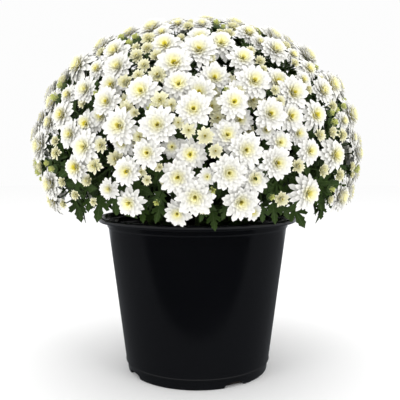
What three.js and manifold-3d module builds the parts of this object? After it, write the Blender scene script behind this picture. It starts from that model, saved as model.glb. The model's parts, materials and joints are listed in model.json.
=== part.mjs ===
// Pot chrysanthemum: a clipped cushion of small cream double blooms, half-open heads and buds over
// dark lobed leaves, grown on nineteen leafy stems in the soil of a ten-inch black nursery pot.
// Millimetres, +Z up. The origin is the middle of the pot's underside and -Y is the plant's front.

import * as THREE from 'three';
import { mergeVertices } from 'three/addons/utils/BufferGeometryUtils.js';
import Module from 'manifold-3d';

const wasm = await Module();
wasm.setup();

// ---------------------------------------------------------------- driving dimensions

const GAP = 0.35;                       // clearance between neighbouring pieces

// How much further the corners of a grown section move out than its sides do.
const MITRE = { triangle: 2.5, square: 1.5, octahedron: 1.8 };

const POT = {
  sides: 20,
  height: 203,
  rimRadius: 130,                       // outer edge of the lip
  rimInner: 125,
  lip: 6,                               // height of the lip's outer face
  collar: 13,                           // from the top down to the ledge under the lip
  collarRadius: 119,
  bodyTop: 117.5,                       // radius just under the collar
  bodyFoot: 95.5,                       // radius just above the foot
  foot: 12,
  footRadius: 93,
  bevel: 1.5,
  wall: 2.2,
  floor: 3,
};
// Four low arches in the foot, each cut in by `depth` with a cutter as long as `reach`. The shoulders
// are shares of the width and the height.
const NOTCH = {
  bearings: [30, 120, 210, 300], width: 29, height: 6.5, shoulder: [0.36, 0.82], depth: 9, reach: 30,
};

// Heights of the soil at its edge and its crown. It is nearly level over the `level` share of its radius.
const SOIL = { edge: 185, crown: 191, level: 0.82, holeDepth: 16 };

// The cushion of blooms: an ellipsoid, flatter below its middle, on which every head's face lies. The
// lowest heads sit at `lowest`, a share of the way down.
const DOME = { middle: 286, radius: 205, up: 163, down: 140, lowest: -0.45 };

// The front elevation is drawn in perspective from EYE on a sheet of 400 units. It no longer shows the
// cushion where that faces EYE by less than `edgeOn`, a cosine.
const EYE = { x: 3.3, y: -763, z: 275, pitch: 3.9, focal: 574, centre: 200, edgeOn: 0.22 };

const SEED = 20261;

// Rings of stems, each with two forks: how many, how far the forks lean from upright, how far out the
// stems' feet stand, and the leans between which their inner foliage reaches.
const STEM_RINGS = [
  { count: 1, lean: 12, foot: 0, from: 0, to: 26 },
  { count: 4, lean: 40, foot: 26, from: 26, to: 54 },
  { count: 6, lean: 68, foot: 44, from: 54, to: 83 },
  { count: 8, lean: 98, foot: 62, from: 83, to: 113 },
];
// A stem is `foot` thick in the soil and `top` thick in its foliage, above which the middle one ends.
const STEM = { foot: 3.4, top: 2.4, sunk: 4, bend: 14, splay: 1.06, middleTop: 80 };

// The inner foliage lies between two depths, shares of the way out, and dips here and there on top.
const FOLIAGE = {
  inner: 0.42,
  outer: 0.76,
  dip: 0.05,
  dips: [[0, 1, 0.3], [0.8, 0.1, 1], [0.2, 0.9, 0]],
};
const FORK = { depth: 0.82, radius: 8.5, past: 3 };        // stalks end `past` beyond its middle

// A bloom's petals: tips and notches as shares of its radius and heights over its face.
const BLOOM = {
  petals: 5,
  tip: [1.06, -0.4],
  notch: [0.74, -2.2],
  raised: [0.5, 4.4],                   // tips of the raised inner layer
  neck: 9,                              // depth at which the stalk leaves its back
};
// Half-open heads and buds, in shares of their radius.
const HALF_OPEN = { high: 0.25, low: 0.05, neck: 1.1, top: 0.8 };
const BUD = { neck: 1.3, top: 1.1 };
const STALK = 2.1;                      // radius of a flower stalk where it meets its head
const LIFT = 0.15;                      // how far every head is turned up towards the light
const SETTLE = { step: 1, overlap: 0.75, deepest: -30 };   // depths of heads that overlap
const LEAF = { length: 48, longer: 1.25, width: 30, thickness: 0.9, depth: 0.93, droop: 0.15 };

// A leaf's outline from root to tip, each with its share of the length and of half the width. The
// stalk is the long wedge from the root to the first pair of lobes.
const LEAF_ROWS = [[0.58, 0.95], [0.67, 0.34], [0.82, 0.7]];

// The leaves of the middle stem run between two leans, and those of the others this far in from the
// borders of their inner foliage, in degrees.
const TOP_LEAVES = { from: 8, to: 22, turn: 23 };
const SIDE_LEAVES = { high: 6, low: 4, middle: 9, beside: 2.5 };

// ---------------------------------------------------------------- heads seen from the front
// Each row is x, y and radius on the elevation sheet.

const FRONT_BLOOMS = [
  [193.5, 109, 16], [234, 102, 14], [244, 115, 13], [229.5, 133, 16], [247.5, 150, 17], [189.5, 155, 16],
  [241, 88, 12], [141, 91, 15], [107, 102, 13], [119, 126, 17], [157.5, 125, 17], [117.5, 142, 12],
  [146.5, 153, 15], [169, 146, 11], [270, 114, 15], [293, 115, 14], [293, 93, 15], [316, 115, 14],
  [303.5, 132, 11], [283.5, 142, 13], [270, 128, 10], [343, 121, 9], [354, 137, 9], [335, 155, 16],
  [357, 153, 13], [310, 151, 13], [277, 163, 16], [126.5, 171.5, 14], [177, 180, 17], [129, 203, 14],
  [195, 197, 18], [177, 215, 13], [229, 173, 17], [256, 180, 15], [241, 202, 17], [308, 193, 17],
  [347.5, 191, 17], [44, 121, 12], [41, 146, 16], [62, 115, 13], [69, 134, 13], [79, 121, 13],
  [92, 111, 12], [84, 147, 16], [86, 90, 12], [68, 95, 9], [51, 184, 15], [73, 168, 15], [115, 52, 13],
  [165, 45, 13], [118, 67, 13], [174, 63, 15], [109, 82, 12], [178, 81, 15], [162, 33, 8], [178, 24, 9],
  [202, 25, 9], [200, 37, 12], [199, 50, 14], [221, 43, 13], [216, 69, 14], [243, 58, 12], [199, 86, 15],
  [248, 33, 11], [275, 50, 12], [309, 69, 10], [254, 81, 15], [281, 77, 14], [322, 91, 12],
  [207.5, 178, 9], [109, 189, 10], [254, 214, 9], [303, 80, 8], [293, 55, 8], [260, 41, 8], [97, 69, 9],
];

const FRONT_HALF_OPEN = [
  [213, 99, 9], [220, 112, 7.5], [256.5, 94.5, 8], [255.5, 125.5, 6], [205, 136, 8], [188.5, 130, 6.5],
  [215.5, 151, 7], [122, 97, 7], [124, 107, 8], [160, 100, 8], [171, 104, 6], [134, 112, 5],
  [178, 122, 6], [137, 136, 7], [128, 141, 6], [109, 160, 9], [280, 101, 5], [267, 95, 5], [320, 135, 6],
  [332, 132, 6], [333, 106, 5], [343, 135, 6], [298, 166, 7], [323, 170, 7], [340, 175, 6],
  [139.5, 173, 5], [147, 180, 5], [158, 168, 5], [162, 187, 4], [204, 211, 6], [281.5, 199, 7.5],
  [331, 200, 5], [55, 141, 5], [55, 153, 6], [80, 102, 4.5], [100, 121, 5], [98, 145, 7],
  [92, 166, 7.5], [62, 182, 5], [83, 183, 6.5], [75, 195, 5], [93, 202, 4], [101, 52, 5],
  [136, 48, 4.5], [147, 48, 5], [148, 38, 6], [137, 56, 6.5], [156, 56, 6], [144, 65, 5.5],
  [138, 75, 5], [157, 73, 8], [125, 82, 7], [188, 26, 5], [221, 31, 4], [229, 33, 5], [181, 38, 4],
  [185, 48, 4], [211, 54, 4.5], [218, 58, 4.5], [233, 70, 7], [216, 81, 6.5], [251, 50, 4],
  [295, 63, 4], [260, 61, 5], [263, 69, 4], [277, 83, 4], [275, 90, 4.5], [322, 79, 4.5], [310, 87, 5],
];

const FRONT_BUDS = [
  [150, 109, 4], [344, 106, 3.5], [331, 113, 3], [337, 110, 3], [333, 122, 4], [355, 170, 3.5],
  [360, 168, 3.5], [157, 202, 3.5], [213, 192, 3.5], [271, 197, 3.5], [331, 189, 3.5], [355, 186, 3],
  [56, 98, 4.5], [97, 94, 3], [37, 163, 3.5], [48, 163, 3.5], [40, 172, 4.5], [53, 169, 4],
  [136, 38, 3.5], [130, 44, 3.5], [216, 24, 3.7], [228, 85, 3.5],
];

// The rest of the cushion: how many of each head, their radii, and the room that each needs as a
// share of its radius. Each goes to the roomiest of `TRIALS` places.
const FILL = {
  bloom: { count: 130, small: 15.5, large: 19.5, room: 0.6 },
  halfOpen: { count: 28, small: 5, large: 8.5, room: 0.8 },
  bud: { count: 9, small: 3.4, large: 4.6, room: 1 },
};
const TRIALS = 60;

// Leaves that hang out under the front of the cushion: sheet position of the tip, and width.
const FRONT_LEAVES = [
  [73, 226, 20], [106, 224, 20], [88, 218, 16], [153, 222, 20], [163, 224, 14], [215, 229, 18],
  [229, 224, 14], [270, 224, 20], [288, 221, 14], [306, 226, 22], [331, 226, 14], [349, 214, 14],
];
// Those of the back hang between two bearings, at distances and heights between these.
const BACK_LEAVES = {
  count: 13, from: 66, to: 294, out: [0.74, 0.86], height: [198, 210], width: [15, 22],
};
const HANGING = { clear: 10, below: 8, out: 0.95, root: [0.6, 0.7], droop: 0.12 };
const NEIGHBOURS = 210;                 // sprays with forks further apart than this never touch

// ---------------------------------------------------------------- small helpers

const rad = THREE.MathUtils.degToRad;
const vec = (x, y, z) => new THREE.Vector3(x, y, z);
const polar = (radius, bearing, z) => vec(radius * Math.sin(bearing), -radius * Math.cos(bearing), z);

let seed = SEED;
function random() {
  seed = (seed * 16807) % 2147483647;
  return seed / 2147483647;
}
const between = (low, high) => low + (high - low) * random();
const within = ([low, high]) => between(low, high);

const nearest = (point, places) => places.reduce(
  (best, place, k) => (place.distanceTo(point) < places[best].distanceTo(point) ? k : best),
  0,
);

function solidFrom(positions, triangles) {
  const vertProperties = new Float32Array(positions);
  const triVerts = new Uint32Array(triangles);
  return new wasm.Manifold(new wasm.Mesh({ numProp: 3, vertProperties, triVerts }));
}

function solidOf(geometry) {
  const bare = geometry.clone();
  bare.deleteAttribute('normal');
  bare.deleteAttribute('uv');
  const merged = mergeVertices(bare, 1e-4);
  return solidFrom(merged.attributes.position.array, merged.index.array);
}

function geometryOf(solid) {
  const { vertProperties, triVerts } = solid.getMesh();
  const geometry = new THREE.BufferGeometry();
  geometry.setAttribute('position', new THREE.BufferAttribute(new Float32Array(vertProperties), 3));
  geometry.setIndex(new THREE.BufferAttribute(new Uint32Array(triVerts), 1));
  return geometry;
}

const placed = (solid, matrix) => solid.transform(matrix.elements);

function largestBody(solid) {
  const bodies = solid.decompose();
  bodies.sort((a, b) => b.volume() - a.volume());
  return bodies[0];
}

// A closed solid built up from rings of points, each ring a list of { turn, point } round the same
// axis, lowest first. A ring of one point closes an end, and so does a last ring of three.
function stacked(rings) {
  const positions = [];
  const triangles = [];
  const starts = [];
  for (const ring of rings) {
    starts.push(positions.length / 3);
    ring.forEach(({ point }) => positions.push(point.x, point.y, point.z));
  }
  for (let k = 0; k + 1 < rings.length; k += 1) {
    bridge(rings[k], starts[k], rings[k + 1], starts[k + 1], triangles);
  }
  if (rings.at(-1).length === 3) triangles.push(...[0, 1, 2].map((k) => starts.at(-1) + k));
  return solidFrom(positions, triangles);
}

// The band between two rings: each step goes to the next point round on whichever ring comes first.
function bridge(lower, lowerStart, upper, upperStart, triangles) {
  let i = 0;
  let j = 0;
  const lowerSteps = lower.length > 1 ? lower.length : 0;
  const upperSteps = upper.length > 1 ? upper.length : 0;
  const turnAt = (points, step) => {
    const rounds = Math.floor(step / points.length);
    return points[step % points.length].turn + 2 * Math.PI * rounds;
  };
  while (i < lowerSteps || j < upperSteps) {
    const a = lowerStart + (i % lower.length);
    const b = upperStart + (j % upper.length);
    const lowerNext = i < lowerSteps ? turnAt(lower, i + 1) : Infinity;
    const upperNext = j < upperSteps ? turnAt(upper, j + 1) : Infinity;
    if (lowerNext <= upperNext) {
      i += 1;
      triangles.push(a, lowerStart + (i % lower.length), b);
    } else {
      j += 1;
      triangles.push(a, upperStart + (j % upper.length), b);
    }
  }
}

function ring(count, place) {
  return Array.from({ length: count }, (_, k) => {
    const turn = (2 * Math.PI * k) / count;
    const [radius, z] = place(k);
    return { turn, point: vec(radius * Math.cos(turn), radius * Math.sin(turn), z) };
  });
}

const tip = (point) => [{ turn: 0, point }];
const shifted = (points, by) => points.map(({ turn, point }) => ({ turn, point: point.clone().add(by) }));

// ---------------------------------------------------------------- the cushion and its heads

// Where a ray of the elevation sheet meets the cushion, or its nearest point if it passes beside it.
function onDome(x, y) {
  const pitch = rad(EYE.pitch);
  const across = (x - EYE.centre) / EYE.focal;
  const above = (EYE.centre - y) / EYE.focal;
  const ray = vec(across, 1, above).applyAxisAngle(vec(1, 0, 0), -pitch);
  const from = vec(EYE.x, EYE.y, EYE.z - DOME.middle);
  const upper = meet(from, ray, DOME.up);
  const point = upper.z >= 0 ? upper : meet(from, ray, DOME.down);
  point.z += DOME.middle;
  return point;
}

function meet(from, ray, height) {
  const scale = vec(1 / DOME.radius, 1 / DOME.radius, 1 / height);
  const start = from.clone().multiply(scale);
  const step = ray.clone().multiply(scale);
  const a = step.dot(step);
  const b = start.dot(step);
  const c = start.dot(start) - 1;
  const inside = b * b - a * c;
  const reach = inside > 0 ? (-b - Math.sqrt(inside)) / a : -b / a;
  return start.addScaledVector(step, reach).normalize().divide(scale);
}

function outward(point) {
  const height = point.z >= DOME.middle ? DOME.up : DOME.down;
  const normal = vec(
    point.x / DOME.radius ** 2,
    point.y / DOME.radius ** 2,
    (point.z - DOME.middle) / height ** 2,
  );
  return normal.normalize();
}

function frontHead(kind, [x, y, size]) {
  const point = onDome(x, y);
  const pitch = rad(EYE.pitch);
  const depth = (point.y - EYE.y) * Math.cos(pitch) - (point.z - EYE.z) * Math.sin(pitch);
  return { kind, point, normal: outward(point), radius: (size * depth) / EYE.focal };
}

function seenFromFront(point) {
  const toEye = vec(EYE.x, EYE.y, EYE.z).sub(point).normalize();
  return outward(point).dot(toEye) > EYE.edgeOn;
}

function anywhere() {
  const lift = between(DOME.lowest, 1);
  const bearing = between(0, 2 * Math.PI);
  const height = lift > 0 ? DOME.up : DOME.down;
  return polar(DOME.radius * Math.sqrt(1 - lift * lift), bearing, DOME.middle + lift * height);
}

// Fills what the front elevation doesn't show, each head in the roomiest of the places tried for it.
function fill(heads, kind, { count, small, large, room }) {
  for (let k = 0; k < count; k += 1) {
    const radius = between(small, large);
    let best = { room: 0 };
    for (let trial = 0; trial < TRIALS; trial += 1) {
      const point = anywhere();
      const free = Math.min(...heads.map((head) => head.point.distanceTo(point) - head.radius));
      if (free > best.room && !seenFromFront(point)) best = { point, room: free };
    }
    if (best.room > radius * room) {
      heads.push({ kind, point: best.point, normal: outward(best.point), radius });
    }
  }
}

// Heads that overlap seen from outside stand at different depths: the larger one is the outer one.
function settle(heads) {
  const order = heads.slice().sort((a, b) => b.radius - a.radius);
  order.forEach((head, k) => {
    head.level = 0;
    for (const other of order.slice(0, k)) {
      const overlap = head.radius + other.radius - head.point.distanceTo(other.point);
      const below = other.level - SETTLE.step - SETTLE.overlap * overlap;
      if (overlap > 0) head.level = Math.min(head.level, below);
    }
    head.level = Math.max(head.level, SETTLE.deepest);
  });
  for (const head of heads) head.face = head.point.clone().addScaledVector(head.normal, head.level);
}

function allHeads() {
  const heads = [
    ...FRONT_BLOOMS.map((row) => frontHead('bloom', row)),
    ...FRONT_HALF_OPEN.map((row) => frontHead('halfOpen', row)),
    ...FRONT_BUDS.map((row) => frontHead('bud', row)),
  ];
  fill(heads, 'bloom', FILL.bloom);
  fill(heads, 'halfOpen', FILL.halfOpen);
  fill(heads, 'bud', FILL.bud);
  settle(heads);
  for (const head of heads) head.spin = between(0, 2 * Math.PI);
  return heads;
}

function frameOf(head) {
  const facing = head.normal.clone().add(vec(0, 0, LIFT)).normalize();
  const side = vec(0, 0, 1).cross(facing).normalize();
  const basis = new THREE.Matrix4().makeBasis(side, facing.clone().cross(side), facing);
  basis.multiply(new THREE.Matrix4().makeRotationZ(head.spin));
  return basis.setPosition(head.face);
}

// A ring of a head's shape, or two in its grown shape, from which its neighbours are cut clear and
// which is wider and deeper everywhere by `grow`.
function rim(points, grow) {
  return grow ? [shifted(points, vec(0, 0, -grow)), shifted(points, vec(0, 0, grow))] : [points];
}

// The rings of a slim stalk from `end` to the back of a head.
function stalk(end, depth, grow) {
  const neck = ring(3, () => [STALK + MITRE.triangle * grow, -depth]);
  if (!grow) return [tip(end), neck];
  const foot = shifted(ring(3, () => [MITRE.triangle * grow, 0]), end);
  return [tip(end.clone().add(vec(0, 0, -grow))), foot, ...rim(neck, grow)];
}

// A double bloom: an outer star of petals, an inner layer raised on it, and a slim stalk that runs
// from the back of the bloom to the fork of its spray.
function bloom(radius, end, grow) {
  const outer = ring(2 * BLOOM.petals, (k) => {
    const [share, height] = k % 2 ? BLOOM.notch : BLOOM.tip;
    return [(radius + grow) * share, height];
  });
  const [share, height] = BLOOM.raised;
  const inner = ring(3, () => [(radius + grow) * share, height + grow]);
  return [...stalk(end, BLOOM.neck, grow), ...rim(outer, grow), inner];
}

// A half-open head: a ball of closed petals, drawn out below into its stalk.
function halfOpen(radius, end, grow) {
  const petals = ring(4, (k) => [radius + grow, radius * (k % 2 ? HALF_OPEN.low : HALF_OPEN.high)]);
  const top = tip(vec(0, 0, radius * HALF_OPEN.top + grow));
  return [...stalk(end, radius * HALF_OPEN.neck, grow), ...rim(petals, grow), top];
}

function bud(radius, end, grow) {
  const waist = ring(4, () => [radius + MITRE.square * grow, 0]);
  const top = tip(vec(0, 0, radius * BUD.top + grow));
  return [...stalk(end, radius * BUD.neck, grow), ...rim(waist, grow), top];
}

const SHAPES = { bloom, halfOpen, bud };

// The stalk ends inside the fork, just past its middle.
function headSolid(head, fork, grow) {
  const frame = frameOf(head);
  const way = head.face.clone().sub(fork).setLength(FORK.past);
  const end = fork.clone().sub(way).applyMatrix4(frame.clone().invert());
  return placed(stacked(SHAPES[head.kind](head.radius, end, grow)), frame);
}

// ---------------------------------------------------------------- forks and sprays

// The stems stand in rings. `share` is half the angle between neighbouring forks of one ring, and
// every other ring is turned by half a stem.
function allStems() {
  return STEM_RINGS.flatMap(({ count, lean, foot, from, to }, row) => {
    const share = Math.PI / (2 * count);
    return Array.from({ length: count }, (_, k) => {
      const bearing = (2 * Math.PI * (k + 0.5 * (row % 2))) / count;
      const forks = [-share, share].map((side) => inDome(rad(lean), bearing + side, FORK.depth));
      const start = polar(foot, bearing, SOIL.edge - SOIL.holeDepth + STEM.sunk);
      return { bearing, share, from: rad(from), to: rad(to), foot: start, forks };
    });
  });
}

// A point of the cushion: lean from upright, bearing, and depth as a share of the way out.
function inDome(lean, bearing, depth) {
  const rise = Math.cos(lean) * (lean < Math.PI / 2 ? DOME.up : DOME.down);
  return polar(DOME.radius * Math.sin(lean) * depth, bearing, DOME.middle + rise * depth);
}

function forkSolid(fork, grow) {
  const knot = new THREE.OctahedronGeometry(FORK.radius + grow * MITRE.octahedron);
  return placed(solidOf(knot), new THREE.Matrix4().setPosition(fork));
}

function spray(fork, heads, grow) {
  const pieces = heads.map((head) => headSolid(head, fork, grow));
  return wasm.Manifold.union([forkSolid(fork, grow), ...pieces]);
}

// ---------------------------------------------------------------- leafy stems

// A tapering four-sided limb with flat ends along a curve. The small part of `side` that points up
// keeps its sections from turning where the curve is upright.
function limb(curve, steps, startRadius, endRadius) {
  const rings = [];
  for (let k = 0; k <= steps; k += 1) {
    const along = curve.getTangent(k / steps);
    const side = vec(along.y, -along.x, 0.001).cross(along).normalize();
    const basis = new THREE.Matrix4().makeBasis(side, along.clone().cross(side), along);
    basis.setPosition(curve.getPoint(k / steps));
    const radius = THREE.MathUtils.lerp(startRadius, endRadius, k / steps);
    const section = ring(4, () => [radius, 0]);
    section.forEach(({ point }) => point.applyMatrix4(basis));
    rings.push(section);
  }
  return stacked([tip(curve.getPoint(0)), ...rings, tip(curve.getPoint(1))]);
}

// A lobed blade with its root at the origin, its rib along +X and its upper face up, both faces split
// alike into the triangle at the root, a strip of quads between the rows and the triangle at the tip.
function leaf(length, width, droop, grow) {
  const points = [[-grow, 0]];
  for (const [u, v] of LEAF_ROWS) {
    const half = (v * width) / 2 + MITRE.square * grow;
    points.push([u * length, half], [u * length, -half]);
  }
  points.push([length + 2 * grow, 0]);
  const count = points.length;
  const faces = [[0, 2, 1]];
  for (let k = 1; k + 3 < count; k += 2) faces.push([k, k + 1, k + 3], [k, k + 3, k + 2]);
  faces.push([count - 3, count - 2, count - 1]);
  const heightAt = (x) => -droop * length * (x / length) ** 2;
  const face = (offset) => points.flatMap(([x, y]) => [x, y, heightAt(x) + offset]);
  const triangles = [];
  for (const [a, b, c] of faces) triangles.push(a, b, c, count + a, count + c, count + b);
  const border = [0, 2, 4, 6, 7, 5, 3, 1];
  border.forEach((from, k) => {
    const to = border[(k + 1) % border.length];
    triangles.push(to, from, count + from, to, count + from, count + to);
  });
  const half = LEAF.thickness / 2 + grow;
  return solidFrom([...face(half), ...face(-half)], triangles);
}

// A leaf from root to end, its upper face turned towards `up`.
function leafBetween({ root, end, up, width, droop }, grow) {
  const along = end.clone().sub(root);
  const length = along.length();
  along.normalize();
  const side = up.clone().cross(along).normalize();
  const basis = new THREE.Matrix4().makeBasis(along, side, along.clone().cross(side)).setPosition(root);
  return placed(leaf(length, width, droop, grow), basis);
}

// The middle stem is the one that stands alone in its ring, upright under the top of the cushion.
const isMiddle = (stem) => stem.from === 0;

// The stem leans out from its hole up into the middle of its inner foliage.
function stemCurve(stem, sink = 0) {
  const foot = stem.foot.clone().setZ(stem.foot.z - sink);
  const rise = stem.foot.clone().multiplyScalar(STEM.splay).setZ(SOIL.crown + STEM.bend);
  const top = inDome((stem.from + stem.to) / 2, stem.bearing, FOLIAGE.inner + FOLIAGE.dip);
  if (isMiddle(stem)) top.setZ(DOME.middle + STEM.middleTop);
  return new THREE.CatmullRomCurve3([foot, rise, top]);
}

// The dense inner foliage of one stem: a block of the cushion between two leans, two bearings and two
// depths, a little short of its neighbours and uneven on top.
function innerFoliage(stem, grow) {
  const outer = FOLIAGE.outer + grow / DOME.radius;
  const inner = FOLIAGE.inner - grow / DOME.radius;
  const margin = GAP - grow / 2;
  const inset = (2 * margin) / DOME.radius;       // the same margin, as an angle of lean
  if (isMiddle(stem)) return cap(stem.to - inset, inner, outer);
  const sideways = vec(Math.cos(stem.bearing), Math.sin(stem.bearing), 0);
  const leans = [stem.from + inset, (stem.from + stem.to) / 2, stem.to - inset];
  const corner = (row, step, depth) => {
    const point = inDome(leans[row], stem.bearing + 2 * stem.share * (step - 1), depth);
    return point.addScaledVector(sideways, margin * (1 - step));
  };
  const over = (row, step) => corner(row, step, outer - FOLIAGE.dip * FOLIAGE.dips[row][step]);
  return sheetBlock(2, 2, (row, step) => corner(row, step, inner), over);
}

// The round inner foliage at the top of the cushion.
function cap(lean, inner, outer) {
  const round = (angle, depth) => Array.from({ length: 8 }, (_, k) => {
    const turn = (Math.PI * k) / 4;
    return { turn, point: inDome(angle, turn, depth) };
  });
  const under = [tip(inDome(0, 0, inner)), round(lean, inner)];
  return stacked([...under, round(lean, outer), round(lean / 2, outer), tip(inDome(0, 0, outer))]);
}

// A closed block between two sheets of rows x steps quads.
function sheetBlock(rows, steps, under, over) {
  const positions = [];
  for (const sheet of [under, over]) {
    for (let row = 0; row <= rows; row += 1) {
      for (let step = 0; step <= steps; step += 1) positions.push(...sheet(row, step).toArray());
    }
  }
  const layer = (rows + 1) * (steps + 1);
  const at = (row, step, level) => level * layer + row * (steps + 1) + step;
  const triangles = [];
  const quad = (a, b, c, d) => triangles.push(a, b, c, a, c, d);
  for (let row = 0; row < rows; row += 1) {
    for (let step = 0; step < steps; step += 1) {
      const next = step + 1;
      quad(at(row, step, 1), at(row + 1, step, 1), at(row + 1, next, 1), at(row, next, 1));
      quad(at(row, step, 0), at(row, next, 0), at(row + 1, next, 0), at(row + 1, step, 0));
    }
    quad(at(row, 0, 0), at(row + 1, 0, 0), at(row + 1, 0, 1), at(row, 0, 1));
    quad(at(row, steps, 1), at(row + 1, steps, 1), at(row + 1, steps, 0), at(row, steps, 0));
  }
  for (let step = 0; step < steps; step += 1) {
    quad(at(0, step, 0), at(0, step, 1), at(0, step + 1, 1), at(0, step + 1, 0));
    quad(at(rows, step, 1), at(rows, step, 0), at(rows, step + 1, 0), at(rows, step + 1, 1));
  }
  return solidFrom(positions, triangles);
}

// Leaves rise from the inner foliage along the borders between one fork's heads and the next, where
// no flower stalks run: between the stem's own forks, beside them and below them.
function leavesOf(stem) {
  const { share, bearing, from, to } = stem;
  const high = from + rad(SIDE_LEAVES.high);
  const low = to - rad(SIDE_LEAVES.low);
  const side = 2 * share - rad(SIDE_LEAVES.beside);
  const top = [0, Math.PI].map((turn) => (
    [rad(TOP_LEAVES.from), turn, rad(TOP_LEAVES.to), turn + rad(TOP_LEAVES.turn)]
  ));
  const around = [
    [to - rad(SIDE_LEAVES.middle), 0, high, 0],
    [high, side, low, side],
    [low, 1.5 * share, low, 0.4 * share],
  ];
  return (isMiddle(stem) ? top : around).map(([lean0, turn0, lean1, turn1]) => {
    const root = inDome(lean0, bearing + turn0, FOLIAGE.outer - 1.2 * FOLIAGE.dip);
    const toward = inDome(lean1, bearing + turn1, LEAF.depth).sub(root);
    const end = root.clone().add(toward.setLength(LEAF.length * between(1, LEAF.longer)));
    return { root, end, up: outward(root), width: LEAF.width, droop: LEAF.droop };
  });
}

function leafyStem(stem, leaves, grow) {
  const wider = MITRE.square * grow;
  const axis = limb(stemCurve(stem), 3, STEM.foot + wider, STEM.top + wider);
  const blades = leaves.map((blade) => leafBetween(blade, grow));
  return wasm.Manifold.union([axis, innerFoliage(stem, grow), ...blades]);
}

// The leaves of the skirt: those of the front elevation, then the same all round the back by a rule.
function skirtLeaves() {
  const leaves = FRONT_LEAVES.map(([x, y, width]) => hanging(onDome(x, y), width));
  const { count, from, to, out, height, width } = BACK_LEAVES;
  for (let k = 0; k < count; k += 1) {
    const bearing = rad(THREE.MathUtils.lerp(from, to, (k + between(0.2, 0.8)) / count));
    const end = polar(DOME.radius * within(out), bearing, within(height));
    leaves.push(hanging(end, within(width)));
  }
  return leaves;
}

// Hangs from the lowest inner foliage, its tip clear of the pot's lip.
function hanging(point, width) {
  const away = Math.max(Math.hypot(point.x, point.y) * HANGING.out, POT.rimRadius + HANGING.clear);
  const lowest = Math.max(point.z, POT.height - HANGING.below);
  const end = vec(point.x, point.y, 0).setLength(away).setZ(lowest);
  const lean = rad(STEM_RINGS.at(-1).to - 2);
  const root = inDome(lean, Math.atan2(end.x, -end.y), within(HANGING.root));
  return { root, end, up: outward(end), width, droop: HANGING.droop };
}

// ---------------------------------------------------------------- pot and soil

function lathe(profile, sides) {
  const points = profile.map(([radius, z]) => new THREE.Vector2(radius, z));
  const turned = new THREE.LatheGeometry(points, sides);
  return solidOf(turned.rotateX(Math.PI / 2));
}

// Radius of the tapering wall's outer face at a height.
function wallAt(z) {
  const under = POT.height - POT.collar;
  return THREE.MathUtils.mapLinear(z, POT.foot, under, POT.bodyFoot, POT.bodyTop);
}

function potSolid() {
  const under = POT.height - POT.collar;
  const { bevel } = POT;
  const shell = lathe([
    [0, 0],
    [POT.footRadius - bevel, 0],
    [POT.footRadius, bevel],
    [POT.footRadius + 1, POT.foot],
    [POT.bodyFoot, POT.foot + bevel],
    [POT.bodyTop, under - bevel],
    [POT.collarRadius, under],
    [POT.collarRadius, POT.height - POT.lip],
    [POT.rimRadius, POT.height - POT.lip],
    [POT.rimRadius, POT.height - bevel],
    [POT.rimRadius - bevel, POT.height],
    [POT.rimInner, POT.height],
    [wallAt(under) - POT.wall, under],
    [wallAt(POT.floor) - POT.wall, POT.floor],
    [0, POT.floor],
  ], POT.sides);
  return shell.subtract(wasm.Manifold.union(NOTCH.bearings.map(notchCutter)));
}

// A low arch through the foot of the wall, for water to run out of.
function notchCutter(bearing) {
  const { width, height, shoulder, depth, reach } = NOTCH;
  const arch = new THREE.Shape();
  arch.moveTo(-width / 2, -1);
  arch.lineTo(width / 2, -1);
  arch.lineTo(width / 2, 1);
  arch.lineTo(width * shoulder[0], height * shoulder[1]);
  arch.lineTo(0, height);
  arch.lineTo(-width * shoulder[0], height * shoulder[1]);
  arch.lineTo(-width / 2, 1);
  const bar = new THREE.ExtrudeGeometry(arch, { depth: reach, bevelEnabled: false });
  bar.rotateX(Math.PI / 2);
  bar.translate(0, -(POT.footRadius - depth), 0);
  bar.rotateZ(rad(bearing));
  return solidOf(bar);
}

// The soil is heaped a little, and as many-sided as the pot.
function soilSolid(stems) {
  const inside = (z) => wallAt(z) - POT.wall - GAP / Math.cos(Math.PI / POT.sides);
  const low = POT.floor + GAP;
  const body = lathe([
    [0, low],
    [inside(low), low],
    [inside(SOIL.edge), SOIL.edge],
    [inside(SOIL.edge) * SOIL.level, SOIL.crown - 1],
    [0, SOIL.crown],
  ], POT.sides);
  return body.subtract(wasm.Manifold.union(stems.map(holeFor)));
}

// The stem's own shape, a little larger all round and at its foot.
function holeFor(stem) {
  const radius = STEM.foot + MITRE.square * GAP;
  return limb(stemCurve(stem, GAP), 3, radius, radius);
}

// ---------------------------------------------------------------- the whole plant

const look = (color, roughness) => new THREE.MeshStandardMaterial({
  color, roughness, metalness: 0, flatShading: true,
});
const LOOKS = {
  pot: look(0x141517, 0.32),
  soil: look(0x2e2118, 0.95),
  leaves: look(0x31461f, 0.6),
  petals: look(0xf4f1e2, 0.7),
};

const number = (k) => String(k + 1).padStart(2, '0');
const plant = new THREE.Group();

function add(name, solid, material) {
  const mesh = new THREE.Mesh(geometryOf(solid), material);
  mesh.name = name;
  plant.add(mesh);
}

const heads = allHeads();
const stems = allStems();
const forks = stems.flatMap((stem) => stem.forks);
const groups = forks.map(() => []);
for (const head of heads) groups[nearest(head.face, forks)].push(head);

// Every spray is cut clear of the sprays before it that stand near.
const grownSprays = forks.map((fork, k) => spray(fork, groups[k], GAP));
forks.forEach((fork, k) => {
  const before = grownSprays.filter((_, j) => j < k && forks[j].distanceTo(fork) < NEIGHBOURS);
  const whole = spray(fork, groups[k], 0);
  const clear = before.length ? whole.subtract(wasm.Manifold.union(before)) : whole;
  add(`spray_${number(k)}`, largestBody(clear), LOOKS.petals);
});

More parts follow.
